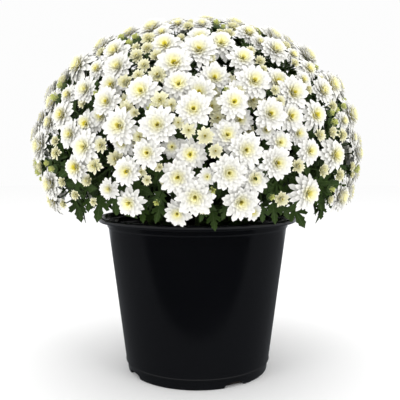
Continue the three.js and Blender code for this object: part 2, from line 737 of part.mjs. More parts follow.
// Every leafy stem is cut clear of all the sprays and of the stems before it.
const skirt = skirtLeaves();
let taken = wasm.Manifold.union(grownSprays);
stems.forEach((stem, k) => {
  const hung = skirt.filter((blade) => Math.floor(nearest(blade.end, forks) / 2) === k);
  const leaves = [...leavesOf(stem), ...hung];
  const clear = leafyStem(stem, leaves, 0).subtract(taken);
  add(`leafy_stem_${number(k)}`, largestBody(clear), LOOKS.leaves);
  taken = taken.add(leafyStem(stem, leaves, GAP));
});

add('pot', potSolid(), LOOKS.pot);
add('soil', soilSolid(stems), LOOKS.soil);

export default plant;
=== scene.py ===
"""Pot chrysanthemum: a clipped cushion of small cream double blooms over lobed leaves in a black pot.

Every operator makes one piece, or one group of like pieces, in metres, with +Z up and the plant's front
towards -Y. The origin is the middle of the pot's underside.
"""

import json
import math

import bmesh
import bpy
from bpy.props import FloatProperty, FloatVectorProperty, IntProperty, PointerProperty
from mathutils import Matrix, Vector
from mathutils.geometry import delaunay_2d_cdt

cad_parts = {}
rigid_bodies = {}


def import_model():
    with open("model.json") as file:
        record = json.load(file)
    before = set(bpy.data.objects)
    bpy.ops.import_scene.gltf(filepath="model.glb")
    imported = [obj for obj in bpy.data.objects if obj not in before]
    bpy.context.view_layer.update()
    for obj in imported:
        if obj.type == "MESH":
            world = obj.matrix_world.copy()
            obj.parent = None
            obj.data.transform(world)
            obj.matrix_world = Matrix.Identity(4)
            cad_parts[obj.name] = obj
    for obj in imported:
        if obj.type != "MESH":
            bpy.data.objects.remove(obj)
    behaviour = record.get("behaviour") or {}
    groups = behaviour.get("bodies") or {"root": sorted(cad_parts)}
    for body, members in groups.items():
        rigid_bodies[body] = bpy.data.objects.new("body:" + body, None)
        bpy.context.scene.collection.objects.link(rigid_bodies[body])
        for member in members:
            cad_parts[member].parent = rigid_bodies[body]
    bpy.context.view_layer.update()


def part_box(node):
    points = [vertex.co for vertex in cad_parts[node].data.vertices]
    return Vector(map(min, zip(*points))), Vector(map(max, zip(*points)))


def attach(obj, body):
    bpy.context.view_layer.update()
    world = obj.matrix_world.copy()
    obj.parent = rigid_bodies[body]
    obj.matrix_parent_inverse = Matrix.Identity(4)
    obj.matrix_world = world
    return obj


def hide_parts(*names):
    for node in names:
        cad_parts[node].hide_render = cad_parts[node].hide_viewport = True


bl_info = {
    "name": "Pot Chrysanthemum",
    "version": (1, 0, 0),
    "blender": (4, 5, 0),
    "location": "View3D > Sidebar > Chrysanthemum",
    "description": "Builds a potted garden chrysanthemum: pot, soil, leafy stems, blooms and a stage",
    "category": "Object",
}

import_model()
POT_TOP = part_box("pot")[1].z
RIM_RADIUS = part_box("pot")[1].x
SOIL_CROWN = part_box("soil")[1].z

# ---------------------------------------------------------------- the plant's layout
# The cushion of blooms is an ellipsoid, flatter below its middle. The heads' faces lie on it or a
# little inside it. The lowest heads sit at DOME_LOWEST, a share of the way down.

DOME_MIDDLE = POT_TOP + 0.083
DOME_RADIUS = 0.205
DOME_UP = 0.163
DOME_DOWN = 0.140
DOME_LOWEST = -0.45

# The front elevation is drawn in perspective from EYE on a sheet of 400 units. It no longer shows the
# cushion where that faces EYE by less than EDGE_ON, a cosine.
EYE = Vector((0.0033, -0.763, POT_TOP + 0.072))
EYE_PITCH = math.radians(3.9)
SHEET_FOCAL = 574
SHEET_MIDDLE = 200
EDGE_ON = 0.22

# Heads face outwards, but less steeply up or down than the cushion does, a little up, and on its front
# by TURNED_TO_EYE towards EYE. That turn is full where the cushion faces EYE by more than a cosine of
# FULL_TURN, and fades out towards the edge.
LEVELLED = Vector((1, 1, 0.45))
RAISED = Vector((0, 0, 0.07))
TURNED_TO_EYE = 0.3
FULL_TURN = 1 / 2.6

# Of two heads that overlap seen from outside, the smaller one sits GAP and SINK times the overlap
# deeper than the other, down to DEEPEST.
GAP = 0.001
SINK = 0.75
DEEPEST = -0.030

SEED = 20261

# Rings of stems: how many, the lean of their forks from upright, how far out their feet stand, and the
# leans between which their foliage reaches. Angles here are in degrees.
STEM_RINGS = [
    (1, 12, 0.000, 0, 26),
    (4, 40, 0.026, 26, 54),
    (6, 68, 0.044, 54, 83),
    (8, 98, 0.062, 83, 113),
]
FORK_DEPTH = 0.82
STEM_SUNK = 0.018

BLOOM, HALF_OPEN, BUD = 0, 1, 2

# Heads on the elevation sheet: x, y and radius.
FRONT_BLOOMS = [
    (193.5, 109, 16), (234, 102, 14), (244, 115, 13), (229.5, 133, 16), (247.5, 150, 17), (189.5, 155, 16),
    (241, 88, 12), (141, 91, 15), (107, 102, 13), (119, 126, 17), (157.5, 125, 17), (117.5, 142, 12),
    (146.5, 153, 15), (169, 146, 11), (270, 114, 15), (293, 115, 14), (293, 93, 15), (316, 115, 14),
    (303.5, 132, 11), (283.5, 142, 13), (270, 128, 10), (343, 121, 9), (354, 137, 9), (335, 155, 16),
    (357, 153, 13), (310, 151, 13), (277, 163, 16), (126.5, 171.5, 14), (177, 180, 17), (129, 203, 14),
    (195, 197, 18), (177, 215, 13), (229, 173, 17), (256, 180, 15), (241, 202, 17), (308, 193, 17),
    (347.5, 191, 17), (44, 121, 12), (41, 146, 16), (62, 115, 13), (69, 134, 13), (79, 121, 13),
    (92, 111, 12), (84, 147, 16), (86, 90, 12), (68, 95, 9), (51, 184, 15), (73, 168, 15), (115, 52, 13),
    (165, 45, 13), (118, 67, 13), (174, 63, 15), (109, 82, 12), (178, 81, 15), (162, 33, 8), (178, 24, 9),
    (202, 25, 9), (200, 37, 12), (199, 50, 14), (221, 43, 13), (216, 69, 14), (243, 58, 12), (199, 86, 15),
    (248, 33, 11), (275, 50, 12), (309, 69, 10), (254, 81, 15), (281, 77, 14), (322, 91, 12),
    (207.5, 178, 9), (109, 189, 10), (254, 214, 9), (303, 80, 8), (293, 55, 8), (260, 41, 8), (97, 69, 9),
]
FRONT_HALF_OPEN = [
    (213, 99, 9), (220, 112, 7.5), (256.5, 94.5, 8), (255.5, 125.5, 6), (205, 136, 8), (188.5, 130, 6.5),
    (215.5, 151, 7), (122, 97, 7), (124, 107, 8), (160, 100, 8), (171, 104, 6), (134, 112, 5),
    (178, 122, 6), (137, 136, 7), (128, 141, 6), (109, 160, 9), (280, 101, 5), (267, 95, 5), (320, 135, 6),
    (332, 132, 6), (333, 106, 5), (343, 135, 6), (298, 166, 7), (323, 170, 7), (340, 175, 6),
    (139.5, 173, 5), (147, 180, 5), (158, 168, 5), (162, 187, 4), (204, 211, 6), (281.5, 199, 7.5),
    (331, 200, 5), (55, 141, 5), (55, 153, 6), (80, 102, 4.5), (100, 121, 5), (98, 145, 7),
    (92, 166, 7.5), (62, 182, 5), (83, 183, 6.5), (75, 195, 5), (93, 202, 4), (101, 52, 5),
    (136, 48, 4.5), (147, 48, 5), (148, 38, 6), (137, 56, 6.5), (156, 56, 6), (144, 65, 5.5),
    (138, 75, 5), (157, 73, 8), (125, 82, 7), (188, 26, 5), (221, 31, 4), (229, 33, 5), (181, 38, 4),
    (185, 48, 4), (211, 54, 4.5), (218, 58, 4.5), (233, 70, 7), (216, 81, 6.5), (251, 50, 4),
    (295, 63, 4), (260, 61, 5), (263, 69, 4), (277, 83, 4), (275, 90, 4.5), (322, 79, 4.5), (310, 87, 5),
]
FRONT_BUDS = [
    (150, 109, 4), (344, 106, 3.5), (331, 113, 3), (337, 110, 3), (333, 122, 4), (355, 170, 3.5),
    (360, 168, 3.5), (157, 202, 3.5), (213, 192, 3.5), (271, 197, 3.5), (331, 189, 3.5), (355, 186, 3),
    (56, 98, 4.5), (97, 94, 3), (37, 163, 3.5), (48, 163, 3.5), (40, 172, 4.5), (53, 169, 4),
    (136, 38, 3.5), (130, 44, 3.5), (216, 24, 3.7), (228, 85, 3.5),
]

# The rest of the cushion: kind, how many, smallest and largest radius, and the room that each needs as
# a share of its radius. Each goes to the roomiest of TRIALS places. The second list adds small heads
# in what gaps are left.
FILL = [
    (BLOOM, 130, 0.0155, 0.0195, 0.6),
    (HALF_OPEN, 28, 0.005, 0.0085, 0.8),
    (BUD, 9, 0.0034, 0.0046, 1.0),
]
SMALL_FILL = [(HALF_OPEN, 48, 0.0045, 0.0080, 0.35), (BUD, 22, 0.0030, 0.0044, 0.4)]
TRIALS = 60

# Leaves that hang out under the front of the cushion, on the sheet: tip x, tip y and width.
FRONT_LEAVES = [
    (73, 226, 20), (98, 220, 21), (114, 216, 18), (88, 212, 12), (143, 223, 15), (157, 222, 15),
    (201, 222, 12), (214, 230, 16), (223, 221, 13), (264, 223, 13), (276, 222, 16), (289, 219, 13),
    (305, 227, 21), (331, 225, 13), (322, 211, 12), (341, 212, 11),
]
# Leaves between the heads at the sides of the cushion, on the sheet: root x, root y, tip x and tip y.
SIDE_LEAVES = [
    (50, 157, 38, 166), (54, 164, 42, 177), (68, 160, 57, 178), (76, 180, 60, 188), (68, 184, 55, 201),
    (352, 160, 346, 175), (322, 190, 341, 184), (326, 194, 328, 176), (326, 192, 341, 199),
]
# Those of the back hang between two bearings. How far out, how high and how wide they are lies between
# these, the first as a share of the cushion's radius.
BACK_LEAVES = 20
BACK_FROM, BACK_TO = math.radians(66), math.radians(294)
BACK_OUT = (0.74, 0.86)
BACK_HEIGHT = (POT_TOP - 0.005, POT_TOP + 0.016)
BACK_WIDTH = (0.017, 0.026)

# ---------------------------------------------------------------- sizes and colours a user would change

COLOUR = {"subtype": "COLOR", "size": 4, "min": 0, "max": 1}


class PotSizes(bpy.types.PropertyGroup):
    """Sizes and colours of the nursery pot and its soil."""

    height: FloatProperty(
        name="Height", description="From the underside to the top of the lip",
        unit="LENGTH", default=POT_TOP,
    )
    rim_radius: FloatProperty(
        name="Rim radius", description="Outer radius of the rolled lip",
        unit="LENGTH", default=RIM_RADIUS,
    )
    rim_inner: FloatProperty(
        name="Rim inner radius", description="Inner radius of the rolled lip",
        unit="LENGTH", default=0.125,
    )
    lip: FloatProperty(
        name="Lip", description="Height of the lip's outer face",
        unit="LENGTH", default=0.006,
    )
    collar: FloatProperty(
        name="Collar", description="From the top down to the ledge under the lip",
        unit="LENGTH", default=0.013,
    )
    collar_radius: FloatProperty(
        name="Collar radius", description="Radius of the wall above the ledge",
        unit="LENGTH", default=0.119,
    )
    body_top: FloatProperty(
        name="Body top radius", description="Radius of the wall just under the ledge",
        unit="LENGTH", default=0.1175,
    )
    body_foot: FloatProperty(
        name="Body foot radius", description="Radius of the wall just above the foot",
        unit="LENGTH", default=0.0955,
    )
    foot: FloatProperty(name="Foot", description="Height of the foot band", unit="LENGTH", default=0.0125)
    foot_radius: FloatProperty(
        name="Foot radius", description="Radius of the foot band",
        unit="LENGTH", default=0.093,
    )
    wall: FloatProperty(name="Wall", description="Thickness of the wall", unit="LENGTH", default=0.0022)
    floor: FloatProperty(name="Floor", description="Thickness of the floor", unit="LENGTH", default=0.003)
    notch_width: FloatProperty(
        name="Notch width", description="Width of a drain notch in the foot",
        unit="LENGTH", default=0.029,
    )
    notch_height: FloatProperty(
        name="Notch height", description="Height of a drain notch in the foot",
        unit="LENGTH", default=0.0065,
    )
    plastic: FloatVectorProperty(
        name="Plastic", description="Colour of the pot",
        default=(0.0018, 0.0020, 0.0028, 1), **COLOUR,
    )
    crumb: FloatProperty(
        name="Crumb", description="Height of the lumps of the soil",
        unit="LENGTH", default=0.004,
    )
    soil: FloatVectorProperty(
        name="Soil", description="Colour of the damp potting soil",
        default=(0.020, 0.013, 0.009, 1), **COLOUR,
    )


class FlowerSizes(bpy.types.PropertyGroup):
    """Sizes and colours of the blooms, half-open heads and buds."""

    petals: IntProperty(name="Petals", description="Petals of a full bloom", default=76, min=12, max=160)
    petal_width: FloatProperty(
        name="Petal width", description="Width of an outer petal as a share of the bloom's radius",
        subtype="FACTOR", default=0.42, min=0.05, max=1,
    )
    petal_length: FloatProperty(
        name="Petal length", description="Length of an outer petal as a share of the bloom's radius",
        subtype="FACTOR", default=1.07, min=0.3, max=1.5,
    )
    outer_tilt: FloatProperty(
        name="Outer tilt", description="Rise of the outermost petals",
        subtype="ANGLE", default=math.radians(2),
    )
    inner_tilt: FloatProperty(
        name="Inner tilt", description="Rise of the innermost petals",
        subtype="ANGLE", default=math.radians(72),
    )
    stalk: FloatProperty(
        name="Stalk", description="Radius of a flower stalk",
        unit="LENGTH", default=0.0009,
    )
    petal: FloatVectorProperty(
        name="Petal", description="Colour of the open petals",
        default=(0.905, 0.90, 0.865, 1), **COLOUR,
    )
    shade: FloatVectorProperty(
        name="Shade", description="Colour of the petals where they lie under others",
        default=(0.76, 0.755, 0.71, 1), **COLOUR,
    )
    cream: FloatVectorProperty(
        name="Cream", description="Colour of the inner and half-open petals",
        default=(0.94, 0.91, 0.56, 1), **COLOUR,
    )
    heart: FloatVectorProperty(
        name="Heart", description="Colour of the middle of a bloom",
        default=(0.85, 0.75, 0.07, 1), **COLOUR,
    )
    lime: FloatVectorProperty(
        name="Lime", description="Colour of the petals of a bud",
        default=(0.70, 0.74, 0.28, 1), **COLOUR,
    )
    eye: FloatVectorProperty(
        name="Eye", description="Colour of the small hollow in the middle of a head",
        default=(0.30, 0.25, 0.03, 1), **COLOUR,
    )
    calyx: FloatVectorProperty(
        name="Calyx", description="Colour of the bracts and flower stalks",
        default=(0.030, 0.055, 0.012, 1), **COLOUR,
    )


class LeafSizes(bpy.types.PropertyGroup):
    """Sizes and colours of the leaves and stems."""

    length: FloatProperty(name="Length", description="Length of a full leaf", unit="LENGTH", default=0.046)
    width: FloatProperty(
        name="Width", description="Width across a full leaf's lobes",
        unit="LENGTH", default=0.028,
    )
    spacing: FloatProperty(
        name="Spacing", description="Distance between neighbouring leaves of the outer layer",
        unit="LENGTH", default=0.023, min=0.01,
    )
    stem: FloatProperty(
        name="Stem", description="Radius of a stem at the soil",
        unit="LENGTH", default=0.0034,
    )
    blade: FloatVectorProperty(
        name="Blade", description="Colour of a leaf",
        default=(0.024, 0.052, 0.005, 1), **COLOUR,
    )
    vein: FloatVectorProperty(
        name="Vein", description="Colour of a leaf's veins",
        default=(0.050, 0.085, 0.024, 1), **COLOUR,
    )
    bark: FloatVectorProperty(
        name="Bark", description="Colour of the stems",
        default=(0.040, 0.055, 0.018, 1), **COLOUR,
    )


class StageSizes(bpy.types.PropertyGroup):
    """The floor, the lights and what glossy pieces mirror."""

    floor_radius: FloatProperty(
        name="Floor radius", description="Radius of the floor",
        unit="LENGTH", default=6.0,
    )
    floor: FloatVectorProperty(
        name="Floor", description="Colour of the floor",
        default=(0.97, 0.97, 0.97, 1), **COLOUR,
    )
    top_light: FloatProperty(
        name="Top light", description="Power of the light overhead",
        unit="POWER", default=10,
    )
    side_light: FloatProperty(
        name="Side lights", description="Power of each side light",
        unit="POWER", default=9,
    )
    sky: FloatProperty(name="Sky", description="Strength of the light from all round", default=1.0, min=0)
    mirrored_near: FloatProperty(
        name="Mirrored near", description="Brightness of the floor near the pot as glossy pieces mirror it",
        default=0.13, min=0,
    )
    mirrored_dark: FloatProperty(
        name="Mirrored dark", description="Brightness of the dark strip of floor that glossy pieces mirror",
        default=0.02, min=0,
    )
    mirrored_far: FloatProperty(
        name="Mirrored far", description="Brightness of the distant floor and room in glossy pieces",
        default=0.55, min=0,
    )


# ---------------------------------------------------------------- the rule that places heads and stems


class Dice:
    """A repeatable run of numbers."""

    def __init__(self, seed):
        self.seed = seed

    def between(self, low, high):
        self.seed = (self.seed * 16807) % 2147483647
        return low + (high - low) * self.seed / 2147483647


def polar(radius, bearing, z):
    return Vector((radius * math.sin(bearing), -radius * math.cos(bearing), z))


def in_dome(lean, bearing, depth):
    """A point of the cushion: lean from upright, bearing, and depth as a share of the way out."""
    height = DOME_UP if lean < math.pi / 2 else DOME_DOWN
    above = height * math.cos(lean) * depth
    return polar(DOME_RADIUS * math.sin(lean) * depth, bearing, DOME_MIDDLE + above)


def outward(point):
    height = DOME_UP if point.z >= DOME_MIDDLE else DOME_DOWN
    flat = DOME_RADIUS**2
    return Vector((point.x / flat, point.y / flat, (point.z - DOME_MIDDLE) / height**2)).normalized()


def meet(start, ray, height):
    """Where a ray meets the ellipsoid, or its nearest point if it passes beside it."""
    scale = Vector((1 / DOME_RADIUS, 1 / DOME_RADIUS, 1 / height))
    begin, step = start * scale, ray * scale
    a, b, c = step.dot(step), begin.dot(step), begin.dot(begin) - 1
    inside = b * b - a * c
    reach = (-b - math.sqrt(inside)) / a if inside > 0 else -b / a
    place = (begin + step * reach).normalized()
    return Vector((place.x / scale.x, place.y / scale.y, place.z / scale.z))


def on_dome(x, y):
    """Where a point of the elevation sheet lies on the cushion."""
    across, above = (x - SHEET_MIDDLE) / SHEET_FOCAL, (SHEET_MIDDLE - y) / SHEET_FOCAL
    cos, sin = math.cos(EYE_PITCH), math.sin(EYE_PITCH)
    ray = Vector((across, cos + above * sin, above * cos - sin))
    start = Vector((EYE.x, EYE.y, EYE.z - DOME_MIDDLE))
    upper = meet(start, ray, DOME_UP)
    point = upper if upper.z >= 0 else meet(start, ray, DOME_DOWN)
    return point + Vector((0, 0, DOME_MIDDLE))


def real_size(point, size):
    """The real length of something on the sheet that lies at a point."""
    depth = (point.y - EYE.y) * math.cos(EYE_PITCH) - (point.z - EYE.z) * math.sin(EYE_PITCH)
    return size * depth / SHEET_FOCAL


class Head:
    """A bloom, half-open head or bud: where it sits, which way it faces and how large it is."""

    def __init__(self, kind, point, radius):
        self.kind = kind
        self.point = point
        self.normal = outward(point)
        self.radius = radius
        self.level = 0
        self.spin = 0
        self.face = point

    def shown(self):
        """How much of it faces EYE: 1 on the front of the cushion, less towards its edge and 0 behind."""
        return min(max(self.normal.dot((EYE - self.point).normalized()) / FULL_TURN, 0), 1)

    def turned(self):
        """Its frame, with Z the way it faces."""
        facing = (self.normal * LEVELLED + RAISED).normalized()
        facing = (facing + (EYE - self.point).normalized() * TURNED_TO_EYE * self.shown()).normalized()
        side = Vector((0, 0, 1)).cross(facing).normalized()
        basis = Matrix((side, facing.cross(side), facing)).transposed()
        return basis @ Matrix.Rotation(self.spin, 3, "Z")


def front_head(kind, row):
    x, y, size = row
    point = on_dome(x, y)
    return Head(kind, point, real_size(point, size))


def seen_from_front(point):
    return outward(point).dot((EYE - point).normalized()) > EDGE_ON


def anywhere(dice):
    lift = dice.between(DOME_LOWEST, 1)
    bearing = dice.between(0, 2 * math.pi)
    height = DOME_UP if lift > 0 else DOME_DOWN
    return polar(DOME_RADIUS * math.sqrt(1 - lift * lift), bearing, DOME_MIDDLE + lift * height)


def fill(heads, dice, rule):
    """Fills what the front elevation doesn't show, each head in the roomiest place tried for it."""
    kind, count, small, large, room = rule
    for _ in range(count):
        radius = dice.between(small, large)
        best, most = None, 0
        for point in [anywhere(dice) for _ in range(TRIALS)]:
            if seen_from_front(point):
                continue
            free = min((head.point - point).length - head.radius for head in heads)
            if free > most:
                best, most = point, free
        if most > radius * room:
            heads.append(Head(kind, best, radius))


def settle(heads, settled):
    """Sets heads at different depths where they overlap, among themselves and with those settled before."""
    outer = list(settled)
    for head in sorted(heads, key=lambda head: -head.radius):
        for other in outer:
            overlap = head.radius + other.radius - (head.point - other.point).length
            if overlap > 0:
                head.level = min(head.level, other.level - GAP - SINK * overlap)
        head.level = max(head.level, DEEPEST)
        head.face = head.point + head.normal * head.level
        outer.append(head)


def all_heads():
    """The heads of the front elevation and those that fill the rest, then the small ones in the gaps."""
    front = [(BLOOM, FRONT_BLOOMS), (HALF_OPEN, FRONT_HALF_OPEN), (BUD, FRONT_BUDS)]
    heads = [front_head(kind, row) for kind, rows in front for row in rows]
    settled = []
    dice = Dice(SEED)
    for rules in (FILL, SMALL_FILL):
        for rule in rules:
            fill(heads, dice, rule)
        fresh = heads[len(settled):]
        settle(fresh, settled)
        for head in fresh:
            head.spin = dice.between(0, 2 * math.pi)
        settled = list(heads)
    return heads


class Stem:
    """A leafy stem: its bearing, the leans its foliage reaches between, its foot and its two forks."""

    def __init__(self, ring, k):
        count, lean, foot, low, high = STEM_RINGS[ring]
        self.bearing = 2 * math.pi * (k + 0.5 * (ring % 2)) / count
        self.share = math.pi / (2 * count)
        self.low, self.high = math.radians(low), math.radians(high)
        self.foot = polar(foot, self.bearing, SOIL_CROWN - STEM_SUNK)
        bearings = (self.bearing - self.share, self.bearing + self.share)
        self.forks = [in_dome(math.radians(lean), bearing, FORK_DEPTH) for bearing in bearings]


def all_stems():
    return [Stem(ring, k) for ring in range(len(STEM_RINGS)) for k in range(STEM_RINGS[ring][0])]


def nearest(point, places):
    return min(range(len(places)), key=lambda k: (places[k] - point).length)


def bow(start, middle, end, steps):
    """Points along a smooth arc from start to end, drawn towards middle."""
    shares = [k / steps for k in range(steps + 1)]
    return [start * (1 - t) ** 2 + middle * (2 * t * (1 - t)) + end * t**2 for t in shares]


def facing(along, up):
    """A frame with X along a leaf and Z as near to `up` as it can be."""
    side = up.cross(along).normalized()
    return Matrix((along, side, along.cross(side))).transposed()


# ---------------------------------------------------------------- meshes


def make_object(name, verts, faces, hidden=False):
    mesh = bpy.data.meshes.new(name)
    mesh.from_pydata([tuple(v) for v in verts], [], faces)
    mesh.shade_smooth()
    made = bpy.data.objects.new(name, mesh)
    if not hidden:
        bpy.context.scene.collection.objects.link(made)
    return made


def store_uv(mesh, places):
    """Gives a mesh a UV map from one place for each vertex."""
    layer = mesh.uv_layers.new(name="UVMap")
    for loop in mesh.loops:
        layer.data[loop.index].uv = places[loop.vertex_index]


def turn_outward(mesh):
    """Turns a closed mesh's faces outwards."""
    shape = bmesh.new()
    shape.from_mesh(mesh)
    bmesh.ops.recalc_face_normals(shape, faces=shape.faces)
    shape.to_mesh(mesh)
    shape.free()


def smooth_but_for(mesh, angle):
    """Smooth shading, but for edges sharper than an angle in degrees."""
    mesh.shade_smooth()
    mesh.set_sharp_from_angle(angle=math.radians(angle))


def petal(name, rows, tip, thickness):
    """A closed petal of length 1 and width 1 along +X.

    Each row holds the share of the length, half the width and the heights of the rib and the edges, and
    the tip its half width and height.
    """
    shoulder = 0.97
    verts, faces, places = [(0, 0, 0)], [], [(0.5, 0)]
    for u, half, rib, edge in rows:
        verts += [(u, half, edge), (u, 0, rib), (u, -half, edge), (u, 0, rib - thickness)]
        places += [(0.5 + half, u), (0.5, u), (0.5 - half, u), (0.5, u)]
    half, height = tip
    verts += [(shoulder, half, height), (1, 0, height), (shoulder, -half, height)]
    places += [(0.5 + half, 1), (0.5, 1), (0.5 - half, 1)]
    left, top, right, under = 1, 2, 3, 4
    faces += [(0, top, left), (0, right, top), (0, under, right), (0, left, under)]
    for k in range(len(rows) - 1):
        a, b = 4 * k, 4 * k + 4
        for one, two in ((left, top), (top, right), (right, under), (under, left)):
            faces.append((a + one, a + two, b + two, b + one))
    a, last = 4 * len(rows) - 4, 4 * len(rows) + 1
    faces += [(a + left, a + top, last + 1, last), (a + top, a + right, last + 2, last + 1)]
    faces += [(a + right, a + under, last + 1, last + 2), (a + under, a + left, last, last + 1)]
    made = make_object(name, verts, faces, hidden=True)
    turn_outward(made.data)
    store_uv(made.data, places)
    smooth_but_for(made.data, 50)
    return made


# One side of a leaf's outline from root to tip, as shares of its length and width: the stalk, a small
# lobe, a large one with three teeth, a deep slit and the toothed middle lobe. Points inside it are
# where the blade is raised or creased.
LEAF_EDGE = [
    (0.00, 0.022), (0.21, 0.028), (0.26, 0.12), (0.28, 0.27), (0.33, 0.38), (0.38, 0.33), (0.41, 0.21),
    (0.46, 0.33), (0.52, 0.47), (0.58, 0.43), (0.65, 0.50), (0.68, 0.37), (0.62, 0.26), (0.55, 0.13),
    (0.66, 0.18), (0.73, 0.25), (0.79, 0.17), (0.86, 0.20), (0.91, 0.11),
]
LEAF_RIB = [0.10, 0.26, 0.38, 0.50, 0.62, 0.74, 0.87]
LEAF_LOBES = [(0.34, 0.22), (0.50, 0.24), (0.58, 0.34)]
FINE_LEAF = (LEAF_EDGE, LEAF_RIB, LEAF_LOBES)
# The same leaf with fewer points, for the many that are mostly hidden.
PLAIN_EDGE = [
    (0.00, 0.03), (0.21, 0.03), (0.31, 0.36), (0.41, 0.20), (0.61, 0.50), (0.56, 0.14), (0.76, 0.25),
]
PLAIN_RIB = [0.28, 0.50, 0.74]
PLAIN_LOBES = [(0.34, 0.20), (0.52, 0.26)]
PLAIN_LEAF = (PLAIN_EDGE, PLAIN_RIB, PLAIN_LOBES)
LEAF_THICKNESS = 0.02


def blade(name, outline, bends):
    """A closed lobed leaf of length 1 and width 1 along +X, bent by its droop, fold and curl."""
    edge, rib, lobes = outline
    droop, fold, curl = bends

    def lifted(x, y):
        return -droop * x * x + fold * abs(y) + curl * math.sin(9 * x) * abs(y)

    rim = [*edge, (1, 0), *((x, -y) for x, y in reversed(edge))]
    inner = [(x, 0) for x in rib] + [(x, side * y) for x, y in lobes for side in (1, -1)]
    count = len(rim)
    edges = [(k, (k + 1) % count) for k in range(count)]
    flat = [Vector(point) for point in rim + inner]
    points, _, cells, _, _, _ = delaunay_2d_cdt(flat, edges, [list(range(count))], 1, 1e-6)
    verts = [(p.x, p.y, lifted(p.x, p.y)) for p in points]
    verts += [(x, y, z - LEAF_THICKNESS) for x, y, z in verts]
    under = len(points)
    faces = [*cells, *([k + under for k in reversed(cell)] for cell in cells)]
    faces += [(a, b, b + under, a + under) for a, b in edges]
    made = make_object(name, verts, faces, hidden=True)
    turn_outward(made.data)
    store_uv(made.data, [(0.5 + across, along) for along, across, _ in verts])
    smooth_but_for(made.data, 60)
    return made


def circle(radius, z, sides, shift=0):
    """Points round the upright axis, shifted by a share of the step between them."""
    return [polar(radius, 2 * math.pi * (k + shift) / sides, z) for k in range(sides)]


def skinned(name, rings, hidden=False):
    """A closed round shape: a skin over rings of equally many points, with a single point at each end."""
    sides = len(rings[1])
    verts = [point for ring in rings for point in ring]
    last = len(verts) - 1 - sides
    faces = []
    for k in range(sides):
        after = (k + 1) % sides
        faces.append((0, 1 + after, 1 + k))
        for a in range(1, last, sides):
            faces.append((a + k, a + after, a + sides + after, a + sides + k))
        faces.append((last + k, last + after, last + sides))
    made = make_object(name, verts, faces, hidden)
    turn_outward(made.data)
    return made


def turned_shape(name, outline, sides, hidden=False):
    """A closed round shape from an outline of radii and heights that starts and ends on the axis."""
    rings = [circle(radius, z, sides) for radius, z in outline[1:-1]]
    return skinned(name, [[(0, 0, outline[0][1])], *rings, [(0, 0, outline[-1][1])]], hidden)


KNOBS = (0.84, 1.12)    # how far the florets stand out from the middle of their dome
KNOBS_LOW = 0.6         # the dome's height as a share of its radius


def florets(name, dice):
    """The unopened middle of a head: a low knobbly dome of about radius 1."""
    shape = bmesh.new()
    bmesh.ops.create_icosphere(shape, subdivisions=2, radius=1)
    for vert in shape.verts:
        vert.co *= dice.between(*KNOBS)
        vert.co.z *= KNOBS_LOW
    mesh = bpy.data.meshes.new(name)
    shape.to_mesh(mesh)
    shape.free()
    return bpy.data.objects.new(name, mesh)


def finished(source, name):
    """The evaluated object as a plain mesh object at the origin, in place of its source."""
    graph = bpy.context.evaluated_depsgraph_get()
    mesh = bpy.data.meshes.new_from_object(source.evaluated_get(graph), depsgraph=graph)
    mesh.name = name
    bpy.data.objects.remove(source)
    made = bpy.data.objects.new(name, mesh)
    bpy.context.scene.collection.objects.link(made)
    return made


def hand_over(piece, node_name):
    """Lets a piece stand for a node of the frame."""
    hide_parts(node_name)
    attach(piece, "root")


def clear_out(collection):
    for made in list(collection.objects):
        bpy.data.objects.remove(made)
    bpy.data.collections.remove(collection)


# ---------------------------------------------------------------- node trees


def node(tree, kind, inputs=None, **settings):
    """Adds a node; inputs maps a socket's name or place to a term or a plain value."""
    made = tree.nodes.new(kind)
    made.location = (180 * len(tree.nodes), 0)
    for name, value in settings.items():
        setattr(made, name, value)
    for key, value in (inputs or {}).items():
        if isinstance(value, Term):
            value.to(made.inputs[key])
        else:
            made.inputs[key].default_value = value
    return made


def term(tree, kind, inputs=None, output=0, **settings):
    """What a new node puts out."""
    return Term(tree, node(tree, kind, inputs, **settings).outputs[output])


class Term:
    """What a socket of a node tree puts out. Reckoning with it adds the nodes that do the sum."""

    def __init__(self, tree, socket):
        self.tree, self.socket = tree, socket

    def to(self, place):
        self.tree.links.new(self.socket, place)

    def by(self, operation, *others):
        return term(self.tree, "ShaderNodeMath", dict(enumerate((self, *others))), operation=operation)

    def vector(self, operation, *others, output=0):
        inputs = dict(enumerate((self, *others)))
        return term(self.tree, "ShaderNodeVectorMath", inputs, output, operation=operation)

    def __add__(self, other):
        return self.by("ADD", other)

    def __sub__(self, other):
        return self.by("SUBTRACT", other)

    def __rsub__(self, other):
        return term(self.tree, "ShaderNodeMath", {0: other, 1: self}, operation="SUBTRACT")

    def __mul__(self, other):
        return self.by("MULTIPLY", other)

    def __truediv__(self, other):
        return self.by("DIVIDE", other)

    def __pow__(self, other):
        return self.by("POWER", other)

    def __abs__(self):
        return self.by("ABSOLUTE")

    def clamped(self):
        return term(self.tree, "ShaderNodeClamp", {0: self})

    def ramp(self, start, end, low=0.0, high=1.0):
        """low up to start, high from end on, and even between them."""
        inputs = {0: self, 1: start, 2: end, 3: low, 4: high}
        return term(self.tree, "ShaderNodeMapRange", inputs, clamp=True)

    def mix(self, low, high):
        """The colour between two others at this share of the way."""
        return term(self.tree, "ShaderNodeMix", {0: self, 6: low, 7: high}, 2, data_type="RGBA")

    def random(self, low, high, run=0):
        """A random number for each instance or point, with this as its seed; `run` gives another run."""
        inputs = {2: low, 3: high, "Seed": self + run}
        return term(self.tree, "FunctionNodeRandomValue", inputs, 1, data_type="FLOAT")


def combine(tree, x, y, z):
    return term(tree, "ShaderNodeCombineXYZ", {0: x, 1: y, 2: z})


